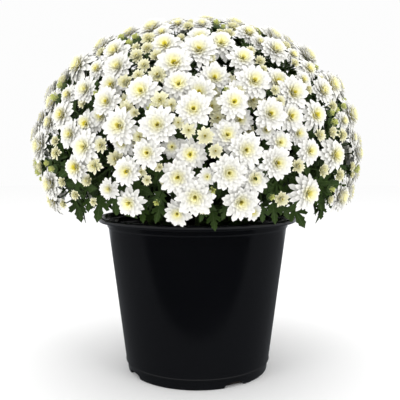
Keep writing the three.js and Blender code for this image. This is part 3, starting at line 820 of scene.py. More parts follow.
def new_group(name, kind, inputs, outputs):
    """A node tree with named sockets: the tree, the terms of its inputs and its output node."""
    tree = bpy.data.node_groups.new(name, kind)
    for title, socket, *default in inputs:
        made = tree.interface.new_socket(title, in_out="INPUT", socket_type=f"NodeSocket{socket}")
        if default:
            made.default_value = default[0]
    for title, socket in outputs:
        tree.interface.new_socket(title, in_out="OUTPUT", socket_type=f"NodeSocket{socket}")
    given = {socket.name: Term(tree, socket) for socket in tree.nodes.new("NodeGroupInput").outputs}
    return tree, given, tree.nodes.new("NodeGroupOutput")


def tree_on(holder, tree, values):
    """Puts a node tree on an object as a modifier and sets its inputs by their identifiers."""
    modifier = holder.modifiers.new(tree.name, "NODES")
    for socket in tree.interface.items_tree:
        if socket.item_type == "SOCKET" and socket.in_out == "INPUT" and socket.name in values:
            modifier[socket.identifier] = values[socket.name]
    modifier.node_group = tree


def named(tree, name, kind="FLOAT"):
    return term(tree, "GeometryNodeInputNamedAttribute", {"Name": name}, data_type=kind)


def keep(tree, geometry, name, value, domain="POINT"):
    """The geometry with a value stored on it by name."""
    inputs = {"Geometry": geometry, "Name": name, "Value": value}
    return term(tree, "GeometryNodeStoreNamedAttribute", inputs, data_type="FLOAT", domain=domain)


def end_tree(tree, given, result, parts, forget=()):
    """Joins the parts, makes them real, sets their materials and drops attributes no longer needed."""
    joined = node(tree, "GeometryNodeJoinGeometry")
    for part in parts:
        part.to(joined.inputs[0])
    whole = term(tree, "GeometryNodeRealizeInstances", {"Geometry": Term(tree, joined.outputs[0])})
    for name in forget:
        whole = term(tree, "GeometryNodeRemoveAttribute", {"Geometry": whole, "Name": name})
    is_green = named(tree, "green").by("GREATER_THAN", 0.5)
    whole = term(tree, "GeometryNodeSetMaterial", {"Geometry": whole, "Material": given["Form material"]})
    whole = term(tree, "GeometryNodeSetMaterial", {
        "Geometry": whole, "Selection": is_green, "Material": given["Green material"],
    })
    whole.to(result.inputs[0])


# Sockets of the node trees: their names, kinds and defaults.
GEOMETRY = [("Geometry", "Geometry")]
MATERIALS = [("Form material", "Material"), ("Green material", "Material")]
HEAD_INPUTS = [
    *GEOMETRY,
    ("Petal", "Object"),
    ("Calyx", "Object"),
    ("Florets", "Object"),
    ("Petals", "Int", 60),
    ("Petal width", "Float", 0.3),
    ("Inner width", "Float", 0.6),
    ("Outer length", "Float", 1.0),
    ("Inner length", "Float", 0.3),
    ("Shortening", "Float", 1.0),
    ("Outer tilt", "Float", 0.0),
    ("Inner tilt", "Float", 1.1),
    ("Outer droop", "Float", 0.05),
    ("Inner curl", "Float", 0.1),
    ("Root radius", "Float", 0.14),
    ("Hole radius", "Float", 0.06),
    ("Root depth", "Float", -0.14),
    ("Florets radius", "Float", 0.1),
    ("Florets height", "Float", 0.0),
    ("Calyx radius", "Float", 0.3),
    ("Youth", "Float", 0.0),
    ("Seed", "Int", 1),
    *MATERIALS,
]
# Petals keep their rank as a share of this; the florets in the middle have rank 1.
PETAL_RANK = 0.8


def head_tree():
    """Petals on a golden-angle spiral over a green calyx, with knobbly florets in the middle."""
    tree, given, result = new_group("Flower head", "GeometryNodeTree", HEAD_INPUTS, GEOMETRY)
    seed = given["Seed"]
    index = term(tree, "GeometryNodeInputIndex")
    rank = index / (given["Petals"] - 1)
    golden = math.pi * (3 - math.sqrt(5))
    turn = index * golden + seed.random(-0.10, 0.10)
    root = rank.ramp(0.0, 1.0, given["Root radius"], given["Hole radius"])
    depth = rank.ramp(0.0, 1.0, given["Root depth"], 0.0)
    place = combine(tree, turn.by("COSINE") * root, turn.by("SINE") * root, depth)
    points = term(tree, "GeometryNodePoints", {"Count": given["Petals"], "Position": place})

    rise = (rank**1.4).ramp(0.0, 1.0, given["Outer tilt"], given["Inner tilt"])
    tilt = rise + seed.random(-0.09, 0.09, 11)
    full = (rank ** given["Shortening"]).ramp(0.0, 1.0, given["Outer length"], given["Inner length"])
    length = full * seed.random(0.93, 1.07, 12)
    narrower = given["Petal width"] * rank.ramp(0.0, 1.0, 1.0, given["Inner width"])
    width = narrower * seed.random(0.88, 1.12, 13)
    source = {"Object": given["Petal"], "As Instance": True}
    whorl = term(tree, "GeometryNodeInstanceOnPoints", {
        "Points": points,
        "Instance": term(tree, "GeometryNodeObjectInfo", source, "Geometry"),
        "Rotation": combine(tree, seed.random(-0.22, 0.22, 14), tilt * -1.0, turn),
        "Scale": combine(tree, length, width, length),
    })
    whorl = keep(tree, whorl, "rank", rank * PETAL_RANK, "INSTANCE")
    whorl = keep(tree, whorl, "tone", seed.random(0.0, 1.0, 15), "INSTANCE")
    whorl = term(tree, "GeometryNodeRealizeInstances", {"Geometry": whorl})

    # Outer petals droop towards their tips and inner ones curl in over the middle.
    flat = term(tree, "GeometryNodeInputPosition").vector("MULTIPLY", (1, 1, 0))
    reach = flat.vector("LENGTH", output="Value")
    young = named(tree, "rank") / PETAL_RANK
    droop = (1.0 - young) * given["Outer droop"] * (named(tree, "tone") + 0.4)
    pull = young * (given["Inner curl"] * reach)
    inward = term(tree, "ShaderNodeVectorMath", {0: flat, "Scale": pull}, operation="SCALE")
    bend = inward.vector("ADD", combine(tree, 0.0, 0.0, droop * (reach * reach)))
    bend = bend.vector("MULTIPLY", (-1, -1, -1))
    whorl = term(tree, "GeometryNodeSetPosition", {"Geometry": whorl, "Offset": bend})
    whorl = keep(tree, whorl, "green", 0.0)

    def part(source, lift, rank, green):
        info = term(tree, "GeometryNodeObjectInfo", {"Object": given[source]}, "Geometry")
        radius = given[f"{source} radius"]
        moved = term(tree, "GeometryNodeTransform", {
            "Geometry": info,
            "Translation": combine(tree, 0.0, 0.0, lift),
            "Scale": combine(tree, radius, radius, radius),
        })
        return keep(tree, keep(tree, moved, "rank", rank), "green", green)

    middle = part("Florets", given["Florets height"], 1.0, 0.0)
    calyx = part("Calyx", 0.0, 0.0, 1.0)
    parts = [keep(tree, piece, "youth", given["Youth"]) for piece in (whorl, middle, calyx)]
    end_tree(tree, given, result, parts)
    return tree


def sprig_tree():
    """Stalks along a mesh's edges, with a head or a leaf picked from a collection on each flagged point."""
    inputs = [*GEOMETRY, ("Forms", "Collection"), ("Stalk sides", "Int", 6), ("Seed", "Int", 1), *MATERIALS]
    tree, given, result = new_group("Sprig", "GeometryNodeTree", inputs, GEOMETRY)
    forms = term(tree, "GeometryNodeCollectionInfo", {
        "Collection": given["Forms"], "Separate Children": True, "Reset Children": True,
    })
    placed = term(tree, "GeometryNodeInstanceOnPoints", {
        "Points": given["Geometry"],
        "Selection": named(tree, "carries").by("GREATER_THAN", 0.5),
        "Instance": forms,
        "Pick Instance": True,
        "Instance Index": named(tree, "form", "INT"),
        "Rotation": named(tree, "turn", "FLOAT_VECTOR"),
        "Scale": named(tree, "size", "FLOAT_VECTOR"),
    })
    placed = keep(tree, placed, "variety", given["Seed"].random(0.0, 1.0), "INSTANCE")

    stalks = term(tree, "GeometryNodeCurveToMesh", {
        "Curve": term(tree, "GeometryNodeMeshToCurve", {"Mesh": given["Geometry"]}),
        "Profile Curve": term(tree, "GeometryNodeCurvePrimitiveCircle", {
            "Resolution": given["Stalk sides"], "Radius": 1.0,
        }),
        "Scale": named(tree, "thick"),
        "Fill Caps": True,
    })
    stalks = keep(tree, stalks, "green", 1.0)
    end_tree(tree, given, result, [placed, stalks], ("carries", "form", "turn", "size", "thick"))
    return tree


class Sprig:
    """The lines of a spray or stem and the places of the forms that it carries."""

    FLOATS = ("thick", "carries", "depth")
    VECTORS = ("turn", "size")

    def __init__(self):
        self.verts, self.edges, self.form = [], [], []
        self.values = {name: [] for name in self.FLOATS + self.VECTORS}

    def add(self, point, form=0, turn=(0, 0, 0), size=(1, 1, 1), **floats):
        self.verts.append(tuple(point))
        self.form.append(form)
        self.values["turn"] += list(turn)
        self.values["size"] += list(size)
        for name in self.FLOATS:
            self.values[name].append(floats.get(name, 0.0))
        return len(self.verts) - 1

    def line(self, points, start, end):
        """A tapering line through points."""
        for k, point in enumerate(points):
            here = self.add(point, thick=start + (end - start) * k / (len(points) - 1))
            if k:
                self.edges.append((here - 1, here))

    def place(self, point, basis, size, form, depth=1.0):
        """A form from the collection, turned and scaled, at a depth that is a share of the way out."""
        self.add(point, form, basis.to_euler(), size, carries=1.0, depth=depth)

    def grown(self, name, tree, values):
        """The finished piece that the node tree makes of the lines and places."""
        mesh = bpy.data.meshes.new(name)
        mesh.from_pydata(self.verts, self.edges, [])
        kept = [("form", "INT", "value", self.form)]
        kept += [(title, "FLOAT", "value", self.values[title]) for title in self.FLOATS]
        kept += [(title, "FLOAT_VECTOR", "vector", self.values[title]) for title in self.VECTORS]
        for title, kind, field, numbers in kept:
            mesh.attributes.new(title, kind, "POINT").data.foreach_set(field, numbers)
        holder = bpy.data.objects.new(name, mesh)
        bpy.context.scene.collection.objects.link(holder)
        tree_on(holder, tree, values)
        return finished(holder, name)


# ---------------------------------------------------------------- materials


def own_place(tree):
    return term(tree, "ShaderNodeTexCoord", output="Object")


def mottle_group():
    """Soft patches and fine grain at the piece's own places: a tone from 0 to 1, and a height for bumps."""
    found = bpy.data.node_groups.get("Mottle")
    if found:
        return found
    inputs = [("Patch scale", "Float"), ("Grain scale", "Float"), ("Grain share", "Float")]
    outputs = [("Tone", "Float"), ("Height", "Float")]
    tree, given, result = new_group("Mottle", "ShaderNodeTree", inputs, outputs)
    place = own_place(tree)
    patch, grain = (
        term(tree, "ShaderNodeTexNoise", {"Vector": place, "Scale": scale, "Detail": detail})
        for scale, detail in ((given["Patch scale"], 3.0), (given["Grain scale"], 2.0))
    )
    term(tree, "ShaderNodeMix", {0: given["Grain share"], 2: patch, 3: grain}).to(result.inputs["Tone"])
    grain.to(result.inputs["Height"])
    return tree


def mottled(tree, patch, grain, share):
    """The mottle group placed in a material: its tone and its height."""
    made = node(tree, "ShaderNodeGroup", node_tree=mottle_group())
    for name, value in (("Patch scale", patch), ("Grain scale", grain), ("Grain share", share)):
        made.inputs[name].default_value = value
    return Term(tree, made.outputs["Tone"]), Term(tree, made.outputs["Height"])


def new_material(name, roughness, specular=0.5):
    material = bpy.data.materials.new(name)
    material.use_nodes = True
    shader = material.node_tree.nodes["Principled BSDF"]
    shader.inputs["Roughness"].default_value = roughness
    shader.inputs["Specular IOR Level"].default_value = specular
    return material, material.node_tree, shader


def attributes(tree, *names):
    return [term(tree, "ShaderNodeAttribute", output="Fac", attribute_name=name) for name in names]


def across_and_along(tree):
    """The places across and along a petal or a leaf, each between 0 and 1."""
    place = term(tree, "ShaderNodeUVMap", uv_map="UVMap")
    split = node(tree, "ShaderNodeSeparateXYZ", {0: place}).outputs
    return Term(tree, split[0]), Term(tree, split[1])


def bump(shader, height, strength, distance):
    inputs = {"Strength": strength, "Distance": distance, "Height": height}
    term(height.tree, "ShaderNodeBump", inputs).to(shader.inputs["Normal"])


def toned(colour, share):
    """A colour made darker or lighter."""
    return [*(c * share for c in colour[:3]), 1]


def petal_material(sizes):
    """White petals, shaded under others, cream and then yellow towards the middle, finely ridged."""
    material, tree, shader = new_material("Cream petals", 0.65, 0.25)
    shader.inputs["Sheen Weight"].default_value = 0.1
    rank, tone, youth, variety = attributes(tree, "rank", "tone", "youth", "variety")
    across, along = across_and_along(tree)
    base = 1.0 - along

    rim_shade = abs(across - 0.5).ramp(0.22, 0.46) * 0.45
    root_shade = base.ramp(0.10, 0.75) * 0.75
    shade = (rim_shade.by("MAXIMUM", root_shade) + tone * 0.18).clamped()
    white = shade.mix(sizes.petal, sizes.shade)

    half_open = youth.by("MINIMUM", 1.0) * base.ramp(0.0, 0.7, 0.40, 1.0)
    cream = (rank + base * 0.12).ramp(0.46, 0.82).by("MAXIMUM", half_open)
    pale = cream.mix(white, sizes.cream)
    pale = (youth - 1.0).clamped().mix(pale, sizes.lime)

    golden = (1.0 - youth * 0.75).clamped() * variety.ramp(0.0, 0.6, 0.35, 1.0)
    heart = (base * (rank + 0.35)).ramp(0.36, 0.74) * golden
    coloured = heart.mix(pale, sizes.heart)
    coloured = rank.ramp(0.85, 0.95).mix(coloured, sizes.eye)
    coloured.to(shader.inputs["Base Color"])

    ridges = (across * 38.0).by("SINE")
    _, grain = mottled(tree, 60, 900, 0.5)
    bump(shader, ridges + grain * 0.6, 0.25, 0.0003)
    return material


def green_material(name, colour, tip):
    """Bracts, stalks and stems: soft green, paler in patches."""
    material, tree, shader = new_material(name, 0.6, 0.3)
    tone, height = mottled(tree, 180, 1400, 0.35)
    tone.mix(toned(colour, 0.7), tip).to(shader.inputs["Base Color"])
    bump(shader, height, 0.3, 0.0004)
    return material


def leaf_material(sizes):
    """Dark green blades with paler veins, downy, a little quilted, and darkened deep in the plant by
    painted shade.
    """
    material, tree, shader = new_material("Lobed leaves", 0.6, 0.2)
    across, along = across_and_along(tree)
    side = abs(across - 0.5)
    rib = side.ramp(0.010, 0.028, 1.0, 0.0)
    wave = ((along - side * 0.5) * 6.4).by("PINGPONG", 0.5)
    veins = rib.by("MAXIMUM", wave.ramp(0.02, 0.08, 0.75, 0.0))
    variety, depth = attributes(tree, "variety", "depth")
    tone, height = mottled(tree, 45, 900, 0.35)
    body = tone.mix(toned(sizes.blade, 0.65), toned(sizes.blade, 1.45))
    body = (variety * 0.5).mix(body, toned(sizes.vein, 0.75))
    veined = veins.mix(body, sizes.vein)
    # Painted shade: leaves deep in the plant, by their depth attribute, mix towards a much darker green.
    depth.ramp(0.60, 0.88).mix(toned(sizes.blade, 0.3), veined).to(shader.inputs["Base Color"])
    bump(shader, height * 0.4 - veins, 0.4, 0.00015)
    return material


def plastic_material(sizes):
    """Black moulded plastic: glossy, a little mottled, with scuffs and a faint orange peel."""
    material, tree, shader = new_material("Black moulded plastic", 0.22)
    tone, height = mottled(tree, 9, 420, 0.25)
    scuffs, _ = mottled(tree, 30, 160, 0.2)
    tone.mix(toned(sizes.plastic, 0.75), toned(sizes.plastic, 1.4)).to(shader.inputs["Base Color"])
    scuffs.ramp(0.3, 0.7, 0.11, 0.20).to(shader.inputs["Roughness"])
    bump(shader, height, 0.06, 0.0005)
    return material


def soil_material(sizes):
    """Damp dark potting soil with paler crumbs."""
    material, tree, shader = new_material("Potting soil", 0.95)
    tone, height = mottled(tree, 70, 700, 0.5)
    cell = term(tree, "ShaderNodeTexVoronoi", {"Vector": own_place(tree), "Scale": 160.0}, "Distance")
    ground = tone.mix(toned(sizes.soil, 0.45), toned(sizes.soil, 1.6))
    coloured = cell.ramp(0.10, 0.22, 0.6, 0.0).mix(ground, toned(sizes.soil, 4))
    coloured.to(shader.inputs["Base Color"])
    bump(shader, height, 0.8, 0.002)
    return material


COOL_WHITE = (0.90, 0.94, 1.0, 1)


def floor_material(sizes):
    """A pale floor. For glossy rays it glows as a painted reflection: paler near the pot and far off, dark
    between.
    """
    material, tree, shader = new_material("Pale floor", 0.9, 0.0)
    tone, _ = mottled(tree, 2, 40, 0.2)
    tone.mix(toned(sizes.floor, 0.99), sizes.floor).to(shader.inputs["Base Color"])
    place = own_place(tree)
    ahead = term(tree, "ShaderNodeSeparateXYZ", {0: place}, 1) * -1.0
    near = ahead.ramp(0.20, 0.235, sizes.mirrored_near, sizes.mirrored_dark)
    far = place.vector("LENGTH", output="Value").ramp(0.70, 1.30, 0.0, sizes.mirrored_far)
    strength = near.by("MAXIMUM", far)
    # Painted reflection: what glossy pieces see of the floor is a glow, paler near the pot and far off,
    # dark between.
    mirrored = term(tree, "ShaderNodeEmission", {"Color": COOL_WHITE, "Strength": strength})
    is_mirrored = term(tree, "ShaderNodeLightPath", output="Is Glossy Ray")
    pale = Term(tree, shader.outputs[0])
    both = term(tree, "ShaderNodeMixShader", {0: is_mirrored, 1: pale, 2: mirrored})
    both.to(tree.nodes["Material Output"].inputs["Surface"])
    return material


# ---------------------------------------------------------------- operators


def rounded(corners, steps=3):
    """The points of an outline with its corners rounded off.

    Each corner is its radius, its height and how far the rounding reaches along its two sides.
    """
    points = []
    for k, (radius, z, reach) in enumerate(corners):
        here = Vector((radius, z))
        if reach == 0:
            points.append(here)
            continue
        before, after = (Vector(corners[j][:2]) for j in (k - 1, k + 1))
        start = here + (before - here).normalized() * reach
        end = here + (after - here).normalized() * reach
        points += bow(start, here, end, steps)
    return points


class MakePot(bpy.types.Operator):
    """Make the moulded nursery pot with its rolled lip, collar, foot and drain notches"""

    bl_idname = "chrysanthemum.make_pot"
    bl_label = "Make Pot"
    bl_options = {"REGISTER", "UNDO"}

    SIDES = 144
    NOTCH_BEARINGS = (30, 120, 210, 300)
    NOTCH_IN, NOTCH_OUT = 0.009, 0.021      # how far the cutter reaches in and out from the foot's radius
    NOTCH_STEPS = 12

    def execute(self, context):
        sizes = context.scene.chrysanthemum_pot
        pot = turned_shape("nursery_pot", self.profile(sizes), self.SIDES)
        cutters = [self.notch(sizes, math.radians(bearing)) for bearing in self.NOTCH_BEARINGS]
        for cutter in cutters:
            cut = pot.modifiers.new("Notch", "BOOLEAN")
            cut.operation, cut.solver, cut.object = "DIFFERENCE", "EXACT", cutter
        pot = finished(pot, "nursery_pot")
        for cutter in cutters:
            bpy.data.objects.remove(cutter)
        smooth_but_for(pot.data, 38)
        pot.data.materials.clear()
        pot.data.materials.append(plastic_material(sizes))
        hand_over(pot, "pot")
        return {"FINISHED"}

    def profile(self, sizes):
        """From the middle of the underside out, up the outer face, over the lip and down the inner face."""
        top, rim, foot = sizes.height, sizes.rim_radius, sizes.foot
        under, recess = top - sizes.collar, 0.0015

        def inner(z):
            share = (z - foot) / (under - foot)
            return sizes.body_foot + (sizes.body_top - sizes.body_foot) * share - sizes.wall

        return rounded([
            (0, recess, 0),
            (0.060, recess, 0.0008),
            (0.0625, 0, 0.0008),
            (sizes.foot_radius, 0, 0.0025),
            (sizes.foot_radius + 0.0004, foot - 0.0006, 0.0005),
            (sizes.body_foot + 0.0002, foot, 0.0006),
            (sizes.body_foot + 0.0005, foot + 0.0012, 0.0006),
            (sizes.body_foot, foot + 0.0024, 0.0005),
            (sizes.body_top, under - 0.0012, 0.0008),
            (sizes.collar_radius, under, 0.0009),
            (sizes.collar_radius + 0.0006, top - sizes.lip, 0.0007),
            (rim, top - sizes.lip, 0.0013),
            (rim, top, 0.0026),
            (sizes.rim_inner, top, 0.0010),
            (inner(under) + 0.0006, under, 0.0020),
            (inner(sizes.floor), sizes.floor, 0.0020),
            (0, sizes.floor, 0),
        ])

    def notch(self, sizes, bearing):
        """A bar with an arched top that reaches in through the foot of the wall."""
        width, height = sizes.notch_width, sizes.notch_height
        below, spring, flatness = -0.001, 0.0004, 0.6
        arch = [(-width / 2, below), (width / 2, below)]
        for k in range(self.NOTCH_STEPS + 1):
            turn = math.pi * k / self.NOTCH_STEPS
            rise = height * math.sin(turn) ** flatness if 0 < k < self.NOTCH_STEPS else spring
            arch.append((width / 2 * math.cos(turn), rise))
        turned = Matrix.Rotation(bearing, 3, "Z")
        near = [turned @ Vector((x, self.NOTCH_IN - sizes.foot_radius, z)) for x, z in arch]
        far = [turned @ Vector((x, -self.NOTCH_OUT - sizes.foot_radius, z)) for x, z in arch]
        count = len(arch)
        faces = [tuple(range(count)), tuple(reversed(range(count, 2 * count)))]
        faces += [(k, k + count, (k + 1) % count + count, (k + 1) % count) for k in range(count)]
        made = make_object("notch", near + far, faces)
        turn_outward(made.data)
        return made


class MakeSoil(bpy.types.Operator):
    """Make the crumbly potting soil that fills the pot"""

    bl_idname = "chrysanthemum.make_soil"
    bl_label = "Make Soil"
    bl_options = {"REGISTER", "UNDO"}

    EDGE_DROP = 0.006       # how much lower the soil lies at the wall than in the middle
    RINGS, SIDES = 26, 96
    # Room between the soil and the wall, how much narrower the soil is than the pot at its foot, and the
    # room between the soil and the floor.
    CLEAR_OF_WALL, NARROWER, CLEAR_OF_FLOOR = 0.0016, 0.005, 0.0006
    LUMPS = (-1, 0.6)       # the hollows and lumps as shares of Crumb
    EVEN = -0.001           # the soil's edge has this in their place

    def execute(self, context):
        sizes = context.scene.chrysanthemum_pot
        dice = Dice(SEED + 5)
        edge = sizes.body_top - sizes.wall - self.CLEAR_OF_WALL
        rings = [[(0, 0, SOIL_CROWN)]]
        for ring in range(1, self.RINGS + 1):
            out = ring / self.RINGS
            level = SOIL_CROWN - self.EDGE_DROP * out**4
            places = circle(edge * out, level, self.SIDES, 0.5 * (ring % 2))
            if ring < self.RINGS:
                lumps = [dice.between(*self.LUMPS) * sizes.crumb for _ in places]
            else:
                lumps = [self.EVEN] * self.SIDES
            rings.append([(place.x, place.y, level + 0.5 * lump) for place, lump in zip(places, lumps)])
        low = sizes.floor + self.CLEAR_OF_FLOOR
        rings += [circle(sizes.body_foot - self.NARROWER, low, self.SIDES), [(0, 0, low)]]
        soil = skinned("potting_soil", rings)
        smooth_but_for(soil.data, 60)
        soil.data.materials.append(soil_material(sizes))
        hand_over(soil, "soil")
        return {"FINISHED"}


class MakeLeafyStems(bpy.types.Operator):
    """Make the nineteen leafy stems, each with its branches and its share of lobed leaves"""

    bl_idname = "chrysanthemum.make_leafy_stems"
    bl_label = "Make Leafy Stems"
    bl_options = {"REGISTER", "UNDO"}

    # Droop, fold and curl of each form of leaf.
    BENDS = [(0.16, 0.10, 0.05), (0.30, 0.20, -0.06), (0.06, 0.26, 0.08)]
    # Depth and spacing of each layer. Those deeper than INSIDE lean further down, by UNDERSIDE.
    LAYERS = [(0.90, 1.0), (0.82, 1.0), (0.72, 1.1), (0.58, 1.0), (0.44, 0.9), (0.3, 0.8)]
    INSIDE, UNDERSIDE = 0.8, 0.65
    MEAN_RADIUS = 0.18      # of the cushion, by which the rows of a layer are counted
    SCATTER = 0.4           # how far a leaf may stray from its place in a row, as a share of the step
    SPREAD = (68, 95)       # degrees by which a leaf turns away from the way out
    FULL = (0.6, 1.0)       # its length as a share of a full leaf's
    # Where a stem divides, as a share of the way out, and how thick it is there and at its forks, as
    # shares of its thickness at the soil.
    DIVIDE = 0.46
    THIN, THINNER = 0.7, 0.4
    MIDDLE_DIVIDE = DOME_MIDDLE + 0.08      # how high the middle stem divides
    STALK = (0.0012, 0.0009)        # radius of a hanging leaf's stalk at its two ends

    def execute(self, context):
        sizes = context.scene.chrysanthemum_leaf
        forms = bpy.data.collections.new("Leaf forms")
        shapes = [(outline, bends) for outline in (PLAIN_LEAF, FINE_LEAF) for bends in self.BENDS]
        for k, (outline, bends) in enumerate(shapes):
            forms.objects.link(blade(f"leaf_{k}", outline, bends))
        values = {
            "Forms": forms,
            "Stalk sides": 7,
            "Form material": leaf_material(sizes),
            "Green material": green_material("Green stems", sizes.bark, sizes.vein),
        }
        tree = sprig_tree()
        stems = all_stems()
        hanging = self.share_out(stems, self.skirt())
        beside = self.share_out(stems, self.side_leaves())
        for k, stem in enumerate(stems):
            dice = Dice(SEED + 100 + k)
            sprig = self.branches(stem, sizes)
            self.layers(sprig, stem, sizes, dice)
            for tip, width, up in hanging[k]:
                self.hang(sprig, tip, width, up, sizes, dice)
            for tip, root in beside[k]:
                width = (tip - root).length * sizes.width / sizes.length
                up = outward(tip) + (EYE - tip).normalized()
                self.leaf(sprig, root, tip, up, width, dice, fine=True)
            piece = sprig.grown(f"leaves_{k + 1:02}", tree, {**values, "Seed": k})
            hand_over(piece, f"leafy_stem_{k + 1:02}")
        clear_out(forms)
        return {"FINISHED"}

    def share_out(self, stems, leaves):
        """Groups leaves, whose first value is the tip, by the stem whose forks are nearest."""
        forks = [fork for stem in stems for fork in stem.forks]
        groups = [[] for _ in stems]
        for leaf in leaves:
            groups[nearest(leaf[0], forks) // 2].append(leaf)
        return groups

    def branches(self, stem, sizes):
        """The stem leans out from the soil and divides towards its two forks."""
        sprig = Sprig()
        middle = in_dome((stem.low + stem.high) / 2, stem.bearing, self.DIVIDE)
        if stem.low == 0:
            middle = Vector((0, 0, self.MIDDLE_DIVIDE))
        rise = Vector((stem.foot.x * 1.06, stem.foot.y * 1.06, SOIL_CROWN + 0.014))
        thin, thinner = sizes.stem * self.THIN, sizes.stem * self.THINNER
        sprig.line(bow(stem.foot, rise, middle, 10), sizes.stem, thin)
        for fork in stem.forks:
            elbow = middle.lerp(fork, 0.6) + Vector((0, 0, 0.01))
            sprig.line(bow(middle, elbow, fork, 6), thin, thinner)
        return sprig

    def layers(self, sprig, stem, sizes, dice):
        """Layers of leaves over the stem's share of the cushion, denser towards the outside."""
        for depth, spacing in self.LAYERS:
            step = sizes.spacing * spacing / depth
            high = stem.high
            if depth < self.INSIDE and high > math.pi / 2:
                high += self.UNDERSIDE
            rows = max(1, round((high - stem.low) * self.MEAN_RADIUS / step))
            for row in range(rows):
                lean = stem.low + (high - stem.low) * (row + 0.5) / rows
                columns = max(1, round(DOME_RADIUS * math.sin(lean) * 4 * stem.share / step))
                for column in range(columns):
                    here = lean + dice.between(-self.SCATTER, self.SCATTER) * (high - stem.low) / rows
                    share = (column + 0.5 + dice.between(-self.SCATTER, self.SCATTER)) / columns - 0.5
                    place = depth + dice.between(-0.06, 0.0)
                    root = in_dome(max(here, 0.02), stem.bearing + 4 * stem.share * share, place)
                    self.open_leaf(sprig, root, sizes, dice, depth)

    def open_leaf(self, sprig, root, sizes, dice, depth):
        """A leaf that spreads from its root with its face more or less outwards."""
        normal = outward(root)
        around = Vector((0, 0, 1)).cross(normal).normalized()
        level = normal.cross(around)
        swing = dice.between(0, 2 * math.pi)
        spread = math.radians(dice.between(*self.SPREAD))
        across = around * math.cos(swing) + level * math.sin(swing)
        way = normal * math.cos(spread) + across * math.sin(spread)
        length = sizes.length * dice.between(*self.FULL)
        up = normal + Vector((0, 0, 0.3))
        self.leaf(sprig, root, root + way * length, up, length * sizes.width / sizes.length, dice, depth)

    def leaf(self, sprig, root, tip, up, width, dice, depth=1.0, fine=False):
        basis = facing((tip - root).normalized(), up) @ Matrix.Rotation(dice.between(-0.3, 0.3), 3, "X")
        length = (tip - root).length
        form = int(dice.between(0, len(self.BENDS))) + len(self.BENDS) * fine
        sprig.place(root, basis, (length, width, length), form, depth)

    def hang(self, sprig, tip, width, up, sizes, dice):
        """A leaf that hangs from a long bowed stalk."""
        out = Vector((tip.x, tip.y, 0)).normalized()
        fall = (out * 0.35 + Vector((dice.between(-0.3, 0.3), dice.between(-0.3, 0.3), -1))).normalized()
        length = width * sizes.length / sizes.width
        base = tip - fall * length
        lean = math.radians(STEM_RINGS[-1][4] - 2)
        root = in_dome(lean, math.atan2(tip.x, -tip.y), dice.between(0.6, 0.7))
        elbow = root.lerp(base, 0.6) + out * 0.012 + Vector((0, 0, 0.012))
        sprig.line(bow(root, elbow, base, 5), *self.STALK)
        self.leaf(sprig, base, tip, up, width, dice, fine=True)

    def skirt(self):
        """The leaves that hang out under the cushion: their tips, widths and the way they face."""
        dice = Dice(SEED + 50)
        ends = []
        for x, y, width in FRONT_LEAVES:
            point = on_dome(x, y)
            ends.append((point, real_size(point, width), (EYE - point).normalized()))
        for k in range(BACK_LEAVES):
            bearing = BACK_FROM + (BACK_TO - BACK_FROM) * (k + dice.between(0.2, 0.8)) / BACK_LEAVES
            point = polar(DOME_RADIUS * dice.between(*BACK_OUT), bearing, dice.between(*BACK_HEIGHT))
            ends.append((point, dice.between(*BACK_WIDTH), Vector((0, 0, 0.25))))
        return [(self.clear_of_pot(tip), width, outward(tip) * 0.5 + up) for tip, width, up in ends]

    def clear_of_pot(self, point):
        away = max(math.hypot(point.x, point.y), RIM_RADIUS + 0.010)
        return polar(away, math.atan2(point.x, -point.y), max(point.z, POT_TOP - 0.008))

    def side_leaves(self):
        """Tips and roots of the leaves that show between the heads at the sides."""
        middle = Vector((0, 0, DOME_MIDDLE))
        return [(on_dome(x1, y1), middle.lerp(on_dome(x0, y0), 0.9)) for x0, y0, x1, y1 in SIDE_LEAVES]


# The forms of flower heads at radius 1, by the names of the node tree's sockets. Each form comes in
# varieties: blooms by how many more petals they have, how much more these rise and how much they
# droop, half-open heads and buds by how many petals they have and how steeply these rise.
BLOOM_FORM = {
    "Inner width": 0.55, "Inner length": 0.42, "Shortening": 1.0, "Inner curl": 0.12, "Root radius": 0.16,
    "Hole radius": 0.07, "Root depth": -0.10, "Florets radius": 0.062, "Florets height": 0.04,
    "Calyx radius": 0.30,
}
BLOOM_VARIETY = [
    (0, 0, 0.10), (-8, -0.12, 0.20), (8, 0.10, 0.05),
    (-4, -0.05, 0.16), (4, 0.05, 0.08), (-10, -0.16, 0.26),
]
HALF_OPEN_FORM = {
    "Petal width": 0.50, "Inner width": 0.5, "Outer length": 1.06, "Inner length": 0.58, "Shortening": 1.1,
    "Inner tilt": 1.30, "Inner curl": 0.30, "Root radius": 0.24, "Hole radius": 0.09, "Root depth": -0.34,
    "Florets radius": 0.13, "Florets height": 0.18, "Calyx radius": 0.50, "Youth": 1.0,
}
HALF_OPEN_VARIETY = [(54, 0.30), (48, 0.12), (56, 0.45), (50, 0.65)]
BUD_FORM = {
    "Petal width": 0.55, "Inner width": 0.8, "Outer length": 1.10, "Inner length": 0.95, "Inner tilt": 1.36,
    "Inner curl": 0.5, "Root radius": 0.42, "Hole radius": 0.10, "Root depth": -0.30, "Florets radius": 0.2,
    "Florets height": 0.35, "Calyx radius": 0.95, "Youth": 2.0,
}
BUD_VARIETY = [(18, 1.10), (16, 0.95)]


